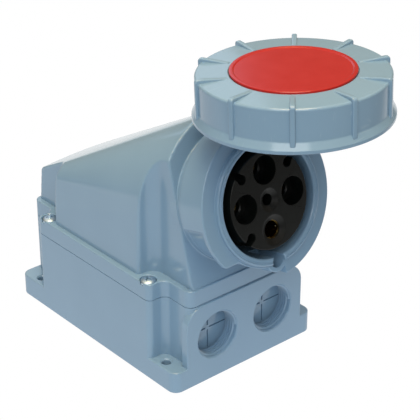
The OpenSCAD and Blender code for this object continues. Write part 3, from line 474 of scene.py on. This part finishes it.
# Socket collar: the round nose with its sealing lip, the two bayonet tabs, the keyway and the ears
# of the hinge. One moulding of the housing's polyamide, pushed into the neck and held from inside.
# The nose is turned, the tabs are sectors with rounded ends, and all are joined before the keyway is cut.
bore_r, lip_r, body_r, tab_r, spigot_r = 34 * MM, 38.4 * MM, 39.8 * MM, 47.5 * MM, 36.2 * MM
tab_front, thin_back, tab_back, collar_back = -2.6 * MM, -6.1 * MM, -22.6 * MM, -30.4 * MM
shelf_r, bore_floor, spigot_end = 29.2 * MM, -46 * MM, -50 * MM
bore_round, lip_round, lip_fillet, body_round = 1.2 * MM, 0.9 * MM, 0.4 * MM, 0.5 * MM
lip_groove = [(36.0 * MM, 0), (36.25 * MM, -0.35 * MM), (36.95 * MM, -0.35 * MM), (37.2 * MM, 0)]
collar_profile = ([(shelf_r, spigot_end), (shelf_r, bore_floor), (bore_r, bore_floor)]
                  + arc(bore_r + bore_round, -bore_round, bore_round, 180, 90, 6) + lip_groove
                  + arc(lip_r - lip_round, -lip_round, lip_round, 90, 0, 5)
                  + arc(lip_r + lip_fillet, tab_front + lip_fillet, lip_fillet, 180, 270, 3)
                  + arc(body_r - body_round, tab_front - body_round, body_round, 90, 0, 4)
                  + arc(body_r - neck_edge, collar_back + neck_edge, neck_edge, 0, -90, 4)
                  + [(spigot_r, collar_back), (spigot_r, spigot_end)])
collar = turned(collar_profile, 160)


def sector(r_in, r_out, low, high, start, turn, round_r):
    """A piece of a ring with rounded outer edges and ends, from one angle over another."""
    profile = ([(r_in, low)] + arc(r_out - round_r, low + round_r, round_r, 270, 360, 4)
               + arc(r_out - round_r, high - round_r, round_r, 0, 90, 4) + [(r_in, high)])
    bm = turned(profile, max(4, int(turn / 2)), turn)
    caps = [f for f in bm.faces if len(f.verts) > 4]
    ends = [e for f in caps for e in f.edges if all(v.co.xy.length > r_in + 1e-6 for v in e.verts)]
    end_round = 0.8 * round_r
    bmesh.ops.bevel(bm, geom=ends, offset=end_round, offset_type="OFFSET", affect="EDGES", segments=3,
                    profile=0.5, material=-1, clamp_overlap=True)
    bm.transform(Matrix.Rotation(math.radians(start), 4, "Z"))
    return bm


def join_closed(kept, tool, operation):
    """Joins or cuts, then merges corners in one place, so that the next join finds a closed shape."""
    same_place = 0.002 * MM
    result = join_or_cut(kept, tool, operation)
    bmesh.ops.remove_doubles(result, verts=result.verts, dist=same_place)
    bmesh.ops.dissolve_degenerate(result, edges=result.edges, dist=same_place)
    return result


# Each tab is thick over most of its turn and ends in a thin part, cut off straight; angles in degrees
tab_start, thin_start, tab_end, thin_overlap, corner_turn = 97, 186, 218, 3, 1.4
root_r, tab_round, corner_cut, corner_run = 37.5 * MM, 0.8 * MM, 0.25 * MM, 1.2 * MM
corner_x, corner_y = tab_r * math.cos(math.radians(tab_end)), tab_r * math.sin(math.radians(tab_end))
root_end = 180 + math.degrees(math.asin(-corner_y / root_r))
thin_from, thin_to = thin_start - thin_overlap, tab_end - corner_turn
thin_corner = [(corner_x + corner_cut, corner_y + corner_cut), (corner_x + corner_run, corner_y)]
thin_outline = (arc(0, 0, tab_r, thin_from, thin_to, 16) + thin_corner
                + arc(0, 0, root_r, root_end, thin_from, 20))
for half_turn in (0, 180):
    tab = sector(root_r, tab_r, tab_back, tab_front, tab_start + half_turn, thin_start - tab_start, tab_round)
    collar = join_closed(collar, tab, "UNION")
    thin = block(thin_outline, thin_back, tab_front)
    round_rim(thin, tab_front, tab_round)
    round_rim(thin, thin_back, tab_round)
    thin.transform(Matrix.Rotation(math.radians(half_turn), 4, "Z"))
    collar = join_closed(collar, thin, "UNION")

# The ears are drawn from the side, with X as up and Y as depth, and turned to stand along the pin
hinge_up, hinge_deep, knuckle_r, ear_in, ear_out = 55.2 * MM, 23.8 * MM, 6 * MM, 9.8 * MM, 16.3 * MM
ear_root, ear_inner_round, ear_outer_round = 36.9 * MM, 0.3 * MM, 0.8 * MM
side_to_pin = Matrix(((0, 0, 1, 0), (1, 0, 0, 0), (0, 1, 0, 0), (0, 0, 0, 1)))
ear_outline = ([(ear_root, -hinge_deep - knuckle_r)] + arc(hinge_up, -hinge_deep, knuckle_r, -90, 90, 20)
               + [(ear_root, -hinge_deep + knuckle_r)])
for side_x in (-1, 1):
    ear = block(ear_outline, ear_in, ear_out)
    round_rim(ear, ear_in, ear_inner_round, 2)
    round_rim(ear, ear_out, ear_outer_round)
    ear.transform(side_to_pin)
    if side_x < 0:
        bmesh.ops.scale(ear, vec=(-1, 1, 1), verts=ear.verts)
    bmesh.ops.recalc_face_normals(ear, faces=ear.faces)
    collar = join_closed(collar, ear, "UNION")

# The keyway has a boss of its own, and its groove is cut through boss and nose together
key_r, key_up, key_deep, boss_r, boss_round = 4.6 * MM, -36.8 * MM, 24 * MM, 7.4 * MM, 0.8 * MM
key_mouth_r, key_mouth_deep, boss_back = key_r + 0.7 * MM, 0.8 * MM, tab_front - key_deep
clear_r, past_lip, past_clear, past_key = bore_r + 1 * MM, 0.05 * MM, 1 * MM, 2 * MM
boss = turned([(0, boss_back), (boss_r, boss_back)]
              + arc(boss_r - boss_round, tab_front - boss_round, boss_round, 0, 90, 4)
              + [(0, tab_front)], 64)
boss.transform(Matrix.Translation((0, key_up, 0)))
boss = join_closed(boss, rod(clear_r, bore_floor, past_clear, 128), "DIFFERENCE")
collar = join_closed(collar, boss, "UNION")
groove = turned([(0, -key_deep), (key_r, -key_deep), (key_r, -key_mouth_deep), (key_mouth_r, past_lip),
                 (key_mouth_r, past_key), (0, past_key)], 64)
groove.transform(Matrix.Translation((0, key_up, 0)))
collar = join_closed(collar, groove, "DIFFERENCE")


def hinge_hole(radius):
    """The hole for the hinge pin, through ears or arm."""
    reach = 20 * MM
    hole = rod(radius, -reach, reach, 40)
    at_hinge = Matrix.Translation((0, hinge_up, -hinge_deep))
    hole.transform(at_hinge @ Matrix.Rotation(math.radians(90), 4, "Y"))
    return hole


ear_hole_r = 2.55 * MM
collar = join_closed(collar, hinge_hole(ear_hole_r), "DIFFERENCE")
collar.transform(socket)
finish_piece(collar, "bayonet_collar", housing_plastic, "housing", "housing_grey", "socket_collar")

# Contact carrier: the round insert with three wide phase holes, the earth and pilot holes in their
# dishes, and three notches in its rim. Black thermoset, moulded in one piece and screwed in from behind.
# It is turned, each hole is cut with its own profile, and the edges of its face are rounded last.

# Black thermoset: nearly black, a little brown-green in strong light, dull with a faint mottle.
black_plastic, shader, where = new_material("dull_black_thermoset")
mottle_size = 4 * MM
mottle = add_node(black_plastic, "ShaderNodeTexNoise", {
    "Vector": where, "Scale": 1 / mottle_size, "Detail": 5.0})
soot = add_node(black_plastic, "ShaderNodeMix", {
    "Factor": mottle.outputs["Fac"], FIRST_COLOUR: linear("#060908"), SECOND_COLOUR: linear("#0e1211")},
    data_type="RGBA")
rub = add_node(black_plastic, "ShaderNodeMapRange", {
    "Value": mottle.outputs["Fac"], "To Min": 0.3, "To Max": 0.42})
links = black_plastic.node_tree.links
links.new(soot.outputs[MIXED_COLOUR], shader.inputs["Base Color"])
links.new(rub.outputs["Result"], shader.inputs["Roughness"])
shader.inputs["Specular IOR Level"].default_value = 0.28

carrier_r, carrier_face, carrier_back, carrier_edge = 28.9 * MM, -0.5 * MM, -54 * MM, 0.6 * MM
carrier_flange_r, carrier_seat, hole_edge = 35 * MM, -50 * MM, 0.3 * MM
carrier = turned([(0, carrier_back), (carrier_flange_r, carrier_back), (carrier_flange_r, carrier_seat),
                  (carrier_r, carrier_seat)]
                 + arc(carrier_r - carrier_edge, carrier_face - carrier_edge, carrier_edge, 0, 90, 4)
                 + [(0, carrier_face)], 128)

# The profile of each hole in millimetres, as radius and height, from the back of the carrier to its face
phase_hole = [(0, -56), (6.1, -56), (6.1, -14.9), (4.5, -14.9), (4.5, -11.7), (5.2, -11), (8.4, -11),
              (8.4, 2), (0, 2)]
earth_hole = [(0, -56), (7.1, -56), (7.1, -3.9), (5.5, -3.9), (5.5, -2.5), (9.07, -0.4), (9.07, 2), (0, 2)]
pilot_hole = [(0, -56), (4.6, -56), (4.6, -14.9), (3.5, -14.9), (3.5, -2.5), (7.07, -0.4), (7.07, 2),
              (0, 2)]
pin_circle = 18 * MM
for x, y, hole_profile in ((pin_circle, 0, phase_hole), (0, pin_circle, phase_hole),
                           (-pin_circle, 0, phase_hole), (0, -pin_circle, earth_hole), (0, 0, pilot_hole)):
    hole = turned([(r * MM, z * MM) for r, z in hole_profile], 64)
    hole.transform(Matrix.Translation((x, y, 0)))
    carrier = join_or_cut(carrier, hole, "DIFFERENCE")
notch_r, notch_at, notch_half, notch_out, notch_deep = 2.9 * MM, 24.5 * MM, 2.32 * MM, 32 * MM, 9.5 * MM
notch_open, past_face = 53.13, 2 * MM
notch_outline = (arc(notch_at, 0, notch_r, notch_open, 360 - notch_open, 24)
                 + [(notch_out, -notch_half), (notch_out, notch_half)])
for turn in (45, 135, 225):
    notch = block(notch_outline, -notch_deep, past_face)
    notch.transform(Matrix.Rotation(math.radians(turn), 4, "Z"))
    carrier = join_or_cut(carrier, notch, "DIFFERENCE")
round_rim(carrier, carrier_face, hole_edge, 2)
carrier.transform(socket)
finish_piece(carrier, "contact_insert", black_plastic, "housing", "carrier_black", "contact_carrier")

# Back plate of the carrier: holds the sleeves in their bores from behind, out of sight.
# The same black thermoset. The CAD plate has the right shape, so it stays and takes the material.
frame["nodes"]["carrier_back"].material_slots[0].material = black_plastic

# Contact sleeves: five sleeves that grip the plug's pins, each with a terminal barrel behind.
# Free-cutting brass, turned on an automatic lathe and slit. The CAD sleeves stay and take the material.

# Turned brass: warm yellow with a tight shine, streaked by the tool and a little browned by handling.
brass, shader, where = new_material("turned_brass")
streak_size = 0.8 * MM
stretch = add_node(brass, "ShaderNodeMapping", {"Vector": where, "Scale": (1.0, 0.2, 0.2)})
streak = add_node(brass, "ShaderNodeTexNoise", {
    "Vector": stretch.outputs["Vector"], "Scale": 1 / streak_size, "Detail": 3.0})
warm = add_node(brass, "ShaderNodeMix", {
    "Factor": streak.outputs["Fac"], FIRST_COLOUR: linear("#c79f48"), SECOND_COLOUR: linear("#e8cb7e")},
    data_type="RGBA")
shine = add_node(brass, "ShaderNodeMapRange", {
    "Value": streak.outputs["Fac"], "To Min": 0.12, "To Max": 0.2})
links = brass.node_tree.links
links.new(warm.outputs[MIXED_COLOUR], shader.inputs["Base Color"])
links.new(shine.outputs["Result"], shader.inputs["Roughness"])
shader.inputs["Metallic"].default_value = 1.0
for name in ("phase_sleeve_right", "phase_sleeve_top", "phase_sleeve_left", "earth_sleeve", "pilot_sleeve"):
    frame["nodes"][name].material_slots[0].material = brass

# Small steel pieces: the spring rings on the sleeves, the screws of carrier, plate and terminals, and
# the horseshoe clip behind the hood's face. Wire, screw stock and sheet, all zinc plated.
# They are right as the CAD has them and take the same zinc as the cover screws.
for name in ("sleeve_rings", "carrier_screws", "back_screws", "terminal_screws", "collar_clip"):
    frame["nodes"][name].material_slots[0].material = zinc_steel

# Seals: the gasket between base and hood, and the seal behind the collar's shoulder.
# Black rubber, moulded to shape. The CAD seals stay and take the material.

# Rubber: a flat dark grey that scatters light, with the fine bloom that moulded rubber has.
rubber, shader, where = new_material("matt_moulded_rubber")
bloom_size = 1.5 * MM
bloom = add_node(rubber, "ShaderNodeTexNoise", {"Vector": where, "Scale": 1 / bloom_size, "Detail": 4.0})
dust = add_node(rubber, "ShaderNodeMix", {
    "Factor": bloom.outputs["Fac"], FIRST_COLOUR: linear("#1e2022"), SECOND_COLOUR: linear("#2b2e30")},
    data_type="RGBA")
rubber.node_tree.links.new(dust.outputs[MIXED_COLOUR], shader.inputs["Base Color"])
shader.inputs["Roughness"].default_value = 0.8
for name in ("box_gasket", "collar_seal"):
    frame["nodes"][name].material_slots[0].material = rubber

# Lid cap: the plate that shuts the mouth, with its hub, its centring skirt and the arm that runs
# through the ring's window to the hinge. One moulding of the housing's polyamide.
# Plate, hub and skirt are turned; the arm is drawn from the side and ends in the knuckle.
ring_joint = next(j for j in frame["joints"] if j["name"] == "ring_turn")
lid_top = 12.5 * MM
lid = frame_on(ring_joint["pos_m"], ring_joint["axis"]) @ Matrix.Translation((0, 0, -lid_top))
plate_under, plate_top, plate_r, plate_round = 3.0 * MM, 6.5 * MM, 46.0 * MM, 0.6 * MM
skirt_in, skirt_out, skirt_end, skirt_bevel = 39.6 * MM, 42.0 * MM, -2.3 * MM, 0.3 * MM
hub_r, hub_top, hub_bevel, stem_hole_r, stem_floor = 30.8 * MM, 10.6 * MM, 0.3 * MM, 10.1 * MM, 6.7 * MM
cap = turned([(0, plate_under), (skirt_in, plate_under), (skirt_in, skirt_end + skirt_bevel),
              (skirt_in + skirt_bevel, skirt_end), (skirt_out - skirt_bevel, skirt_end),
              (skirt_out, skirt_end + skirt_bevel), (skirt_out, plate_under)]
             + arc(plate_r - plate_round, plate_under + plate_round, plate_round, 270, 360, 3)
             + arc(plate_r - plate_round, plate_top - plate_round, plate_round, 0, 90, 3)
             + [(hub_r, plate_top), (hub_r, hub_top - hub_bevel), (hub_r - hub_bevel, hub_top),
                (stem_hole_r, hub_top), (stem_hole_r, stem_floor), (0, stem_floor)], 128)

# The arm bends down outside the skirt, and its two sides meet the knuckle at these angles in degrees
arm_half, arm_root, arm_round, arm_hole_r = 9 * MM, 30 * MM, 0.6 * MM, 2.58 * MM
inner_bend, inner_bend_at, outer_bend, outer_bend_at = 2.0 * MM, 50.6 * MM, 3.0 * MM, 54.8 * MM
knuckle_from, knuckle_to = 115.7, 424.3
arm_outline = ([(arm_root, plate_under)]
               + arc(inner_bend_at, plate_under - inner_bend, inner_bend, 90, 0, 6)
               + arc(hinge_up, -hinge_deep, knuckle_r, knuckle_from, knuckle_to, 40)
               + arc(outer_bend_at, plate_top - outer_bend, outer_bend, 0, 90, 8)
               + [(arm_root, plate_top)])
arm = block(arm_outline, -arm_half, arm_half)
round_rim(arm, -arm_half, arm_round)
round_rim(arm, arm_half, arm_round)
arm.transform(side_to_pin)
cap = join_or_cut(cap, arm, "UNION")
cap = join_or_cut(cap, hinge_hole(arm_hole_r), "DIFFERENCE")
cap.transform(lid)

# Handled polyamide: the lid and its ring are gripped and knocked, so the same plastic is crossed by
# fine pale scratches. Real ones are about 0.1 mm wide; they are drawn at 0.5 mm to show.
scratch_long, scratch_wide, scratch_apart = 24 * MM, 0.5 * MM, 9 * MM
worn_plastic = housing_plastic.copy()
worn_plastic.name = "scratched_polyamide_grey"
kept = worn_plastic.node_tree.nodes
lines = []
for turn in (24, -58):
    along = add_node(worn_plastic, "ShaderNodeMapping", {
        "Vector": kept["Texture Coordinate"].outputs["Object"], "Rotation": (0.4, 0.3, math.radians(turn)),
        "Scale": (1 / scratch_long, 1 / scratch_wide, 1 / scratch_apart)})
    mark = add_node(worn_plastic, "ShaderNodeTexNoise", {
        "Vector": along.outputs["Vector"], "Scale": 1.0, "Detail": 1.0})
    lines.append(add_node(worn_plastic, "ShaderNodeMapRange", {
        "Value": mark.outputs["Fac"], "From Min": 0.7, "From Max": 0.8}).outputs["Result"])
scratch = add_node(worn_plastic, "ShaderNodeMath", {0: lines[0], 1: lines[1]}, operation="MAXIMUM")
faint = add_node(worn_plastic, "ShaderNodeMath", {
    0: scratch.outputs["Value"], 1: 0.22}, operation="MULTIPLY").outputs["Value"]
pale = add_node(worn_plastic, "ShaderNodeMix", {
    "Factor": faint, FIRST_COLOUR: kept["tone"].outputs[MIXED_COLOUR], SECOND_COLOUR: linear("#a9bccb")},
    data_type="RGBA")
rough = add_node(worn_plastic, "ShaderNodeMath", {
    0: faint, 1: 0.5, 2: kept["sheen"].outputs["Result"]}, operation="MULTIPLY_ADD")
links, shader = worn_plastic.node_tree.links, kept["Principled BSDF"]
links.new(pale.outputs[MIXED_COLOUR], shader.inputs["Base Color"])
links.new(rough.outputs["Value"], shader.inputs["Roughness"])
finish_piece(cap, "lid_plate", worn_plastic, "lid", "lid_grey", "lid_cap")

# Lid gasket, hinge pin and washers: a flat rubber ring inside the skirt, a ground steel pin and two
# thin friction washers. All are right as the CAD has them.
frame["nodes"]["lid_gasket"].material_slots[0].material = rubber
for name in ("hinge_pin", "hinge_washers"):
    frame["nodes"][name].material_slots[0].material = zinc_steel

# Locking ring: turns on the cap's hub and grips behind the bayonet tabs with two lugs. Ten rounded
# ribs give the hand a hold, and its foot flares out. The housing's polyamide, moulded in one piece.
# The wall is turned, the ribs are drawn from the side, then the window is cut and the lugs are added.
ring_r, ring_bore, ring_foot, ring_foot_r = 53.2 * MM, 49.4 * MM, -13.8 * MM, 55.4 * MM
seat_r, seat_floor, seat_rim, seat_round = 35.0 * MM, 10.3 * MM, 11.4 * MM, 0.4 * MM
ring_under, hub_hole_r, ring_edge, edge_r = 6.8 * MM, 31.1 * MM, 10.7 * MM, 1.5 * MM
bore_bevel, flare_r, foot_edge = 0.4 * MM, 2 * MM, 0.6 * MM
flare_top, flare_end = ring_foot + 6.6 * MM, ring_foot + 1.9 * MM
ring = turned([(ring_bore + bore_bevel, ring_foot), (ring_bore, ring_foot + bore_bevel),
               (ring_bore, ring_under), (hub_hole_r, ring_under), (hub_hole_r, seat_floor),
               (seat_r, seat_floor), (seat_r, seat_rim - seat_round)]
              + arc(seat_r + seat_round, seat_rim - seat_round, seat_round, 180, 90, 3)[1:]
              + arc(ring_r - edge_r, ring_edge - edge_r, edge_r, 86, 0, 8)
              + arc(ring_r + flare_r, flare_top, flare_r, 180, 212, 4)
              + arc(ring_foot_r - foot_edge, flare_end, foot_edge, 30, 0, 3)
              + arc(ring_foot_r - foot_edge, ring_foot + foot_edge, foot_edge, 0, -90, 4), 240)

# Each rib climbs from the seat to a knee, goes round the ring's shoulder and ends above its foot
rib_count, rib_first, rib_half, rib_round = 10, 9.9, 1.5 * MM, 0.7 * MM
rib_in, rib_out, rib_top, rib_foot = 36.7 * MM, 54.6 * MM, 12.7 * MM, ring_foot + 3.1 * MM
rib_sink_r, rib_sink, rib_shoulder, rib_toe = 51.3 * MM, 8.5 * MM, 1.8 * MM, 1.4 * MM
rib_low_end, rib_knee_r, rib_knee = 11.65 * MM, 49.2 * MM, rib_top - 0.1 * MM
rib_outline = ([(rib_in, rib_sink), (rib_in, rib_low_end), (rib_knee_r, rib_knee)]
               + arc(rib_out - rib_shoulder, rib_top - rib_shoulder, rib_shoulder, 90, 0, 6)
               + arc(rib_out - rib_toe, rib_foot + rib_toe, rib_toe, 0, -70, 4)
               + [(rib_sink_r, rib_foot), (rib_sink_r, rib_sink)])
ribs = bmesh.new()
for number in range(rib_count):
    rib = block(rib_outline, -rib_half, rib_half)
    round_rim(rib, -rib_half, rib_round)
    round_rim(rib, rib_half, rib_round)
    rib_turn = math.radians(rib_first + 360 / rib_count * number)
    rib.transform(Matrix.Rotation(rib_turn, 4, "Z") @ Matrix.Rotation(math.radians(90), 4, "X"))
    add_block(ribs, rib)
ring = join_or_cut(ring, ribs, "UNION")

# The window for the lid's arm and the two lugs, by their angles in degrees
window_start, window_turn, lug_starts, lug_turn = 77, 54, (227, 47), 22
window_in, window_out, window_low = 48 * MM, 57 * MM, ring_foot - 1 * MM
window = turned([(window_in, window_low), (window_out, window_low), (window_out, ring_under),
                 (window_in, ring_under)], 40, window_turn)
window.transform(Matrix.Rotation(math.radians(window_start), 4, "Z"))
ring = join_or_cut(ring, window, "DIFFERENCE")
lug_in, lug_out, lug_top, lug_edge = 43.65 * MM, 49.6 * MM, -6.4 * MM, 0.5 * MM
lug_profile = [(lug_out, ring_foot), (lug_in + lug_edge, ring_foot), (lug_in, ring_foot + lug_edge),
               (lug_in, lug_top - lug_edge), (lug_in + lug_edge, lug_top), (lug_out, lug_top)]
lugs = bmesh.new()
for start in lug_starts:
    lug = turned(lug_profile, 16, lug_turn)
    lug.transform(Matrix.Rotation(math.radians(start), 4, "Z"))
    add_block(lugs, lug)
ring = join_or_cut(ring, lugs, "UNION")
ring.transform(lid)
finish_piece(ring, "ribbed_lock_ring", worn_plastic, "ring", "lid_grey", "lock_ring")

# Lid disc: the red disc that shows the voltage, in the seat of the ring, with a raised rim and a
# stem pressed into the hub. A glossy moulding with a plain face, turned in one profile.

# Glossy red plastic: a deep even red with a clear shine, dimmed slightly by fine wear.
disc_red, shader, where = new_material("glossy_signal_red_plastic")
wear_size = 9 * MM
wear = add_node(disc_red, "ShaderNodeTexNoise", {"Vector": where, "Scale": 1 / wear_size, "Detail": 6.0})
pigment = add_node(disc_red, "ShaderNodeMix", {
    "Factor": wear.outputs["Fac"], FIRST_COLOUR: linear("#9c140e"), SECOND_COLOUR: linear("#a61d16")},
    data_type="RGBA")
gloss = add_node(disc_red, "ShaderNodeMapRange", {
    "Value": wear.outputs["Fac"], "To Min": 0.14, "To Max": 0.24})
links = disc_red.node_tree.links
links.new(pigment.outputs[MIXED_COLOUR], shader.inputs["Base Color"])
links.new(gloss.outputs["Result"], shader.inputs["Roughness"])

disc_r, disc_under, disc_face, stem_r, stem_end = 34.7 * MM, 10.6 * MM, 12.0 * MM, 10 * MM, 7.0 * MM
rim_r, rim_inner_r, face_fillet, under_bevel = 0.6 * MM, 0.25 * MM, 0.3 * MM, 0.4 * MM
rim_in, face_r = disc_r - 2.0 * MM, disc_r - 2.9 * MM
disc = turned([(0, stem_end), (stem_r, stem_end), (stem_r, disc_under), (disc_r - under_bevel, disc_under),
               (disc_r, disc_under + under_bevel)]
              + arc(disc_r - rim_r, lid_top - rim_r, rim_r, 0, 90, 5)
              + arc(rim_in, lid_top - rim_inner_r, rim_inner_r, 90, 150, 3)
              + arc(face_r, disc_face + face_fillet, face_fillet, 300, 270, 3)
              + [(0, disc_face)], 160)
disc.transform(lid)
finish_piece(disc, "red_lid_disc", disc_red, "lid", "disc_red", "lid_disc")

# Studio: a sheet of white paper that runs away behind the object, in a dim room with a pale ceiling.
# The paper's glow is painted light: it glows full bright in an oval round the object and dimmer farther
# off, lights the object from below and lets no shadow fall on it. A black card under the object is
# painted shade in its holes, keeping the glow out of them. The camera stands where the photograph was taken.


def studio_sheet(name, size, height, material):
    """A flat sheet that lies under the object."""
    sheet = bmesh.new()
    bmesh.ops.create_grid(sheet, x_segments=1, y_segments=1, size=0.5,
                          matrix=Matrix.Translation((0, 0, height)) @ Matrix.Diagonal((*size, 1, 1)))
    mesh = bpy.data.meshes.new(name)
    sheet.to_mesh(mesh)
    sheet.free()
    mesh.materials.append(material)
    laid = bpy.data.objects.new(name, mesh)
    bpy.context.collection.objects.link(laid)
    return laid


floor_paper, shader, where = new_material("glowing_backdrop_paper")
# Painted glow: full emission inside an oval patch round the object, fading to 0.3 outside it
painted_glow_patch = add_node(floor_paper, "ShaderNodeMapping", {
    "Vector": where, "Location": (0.63, 0.78, 0), "Rotation": (0, 0, math.radians(-39)),
    "Scale": (0.75, 1.5, 1.0)}, vector_type="TEXTURE")
inside = add_node(floor_paper, "ShaderNodeTexGradient", {
    "Vector": painted_glow_patch.outputs["Vector"]}, gradient_type="SPHERICAL")
glow = add_node(floor_paper, "ShaderNodeMapRange", {
    "Value": inside.outputs["Fac"], "From Max": 0.133, "To Min": 0.3}, interpolation_type="SMOOTHSTEP")
floor_paper.node_tree.links.new(glow.outputs["Result"], shader.inputs["Emission Strength"])
shader.inputs["Emission Color"].default_value = linear("#ffffff")
shader.inputs["Base Color"].default_value = linear("#000000")
shader.inputs["Specular IOR Level"].default_value = 0.0
floor_size, floor_z, card_size, card_z = (8.0, 8.0), -0.2 * MM, (108 * MM, 154 * MM), -0.1 * MM
floor = studio_sheet("studio_floor", floor_size, floor_z, floor_paper)
# Painted shade: a black sheet under the object, so that its holes look dark and not lit by the glowing paper
painted_shade_card = studio_sheet("shade_card_for_holes", card_size, card_z, black_plastic)

# A warm soft light hangs above, a weaker one and a low strip stand to the front left, and a bluish
# one behind lights the roof. Places and sizes are in metres, and power is in watts.
target = Vector((0, -0.02, 0.09))
for name, place, width, height, power, colour in (
        ("top_light", (-0.2, -0.3, 1.4), 0.7, 0.7, 15, "#ffdda6"),
        ("key_light", (-0.75, -0.75, 1.1), 0.9, 0.9, 8.5, "#fcfdff"),
        ("strip_light", (-0.9, -1.0, 0.5), 1.5, 0.3, 1.3, "#f4f9ff"),
        ("rear_light", (0.5, 1.1, 0.8), 0.8, 0.8, 2, "#c8dfff")):
    lamp = bpy.data.lights.new(name, "AREA")
    lamp.shape, lamp.size, lamp.size_y = "RECTANGLE", width, height
    lamp.energy, lamp.color = power, linear(colour)[:3]
    light = bpy.data.objects.new(name, lamp)
    light.location = place
    light.rotation_euler = (target - Vector(place)).to_track_quat("-Z", "Y").to_euler()
    bpy.context.collection.objects.link(light)
room = bpy.data.worlds.new("pale_ceiling_room")
room.use_nodes = True
towards = add_node(room, "ShaderNodeTexCoord", {}).outputs["Generated"]
upward = add_node(room, "ShaderNodeSeparateXYZ", {"Vector": towards}).outputs["Z"]
ceiling = add_node(room, "ShaderNodeMapRange", {
    "Value": upward, "From Min": 0.4, "From Max": 0.75, "To Min": 0.25, "To Max": 0.85},
    interpolation_type="SMOOTHSTEP")
air = room.node_tree.nodes["Background"]
air.inputs["Color"].default_value = linear("#ffeeda")
room.node_tree.links.new(ceiling.outputs["Result"], air.inputs["Strength"])
bpy.context.scene.world = room
bpy.context.scene.view_settings.view_transform = "Standard"

lens = bpy.data.cameras.new("camera")
lens.lens, lens.sensor_width, lens.sensor_fit = 130.12, 36.0, "HORIZONTAL"
camera = bpy.data.objects.new("camera", lens)
camera.location = (-0.5213464, -0.6510422, 0.5247435)
camera.rotation_euler = (math.radians(61.533), 0, math.radians(-40.744))
bpy.context.collection.objects.link(camera)
bpy.context.scene.camera = camera
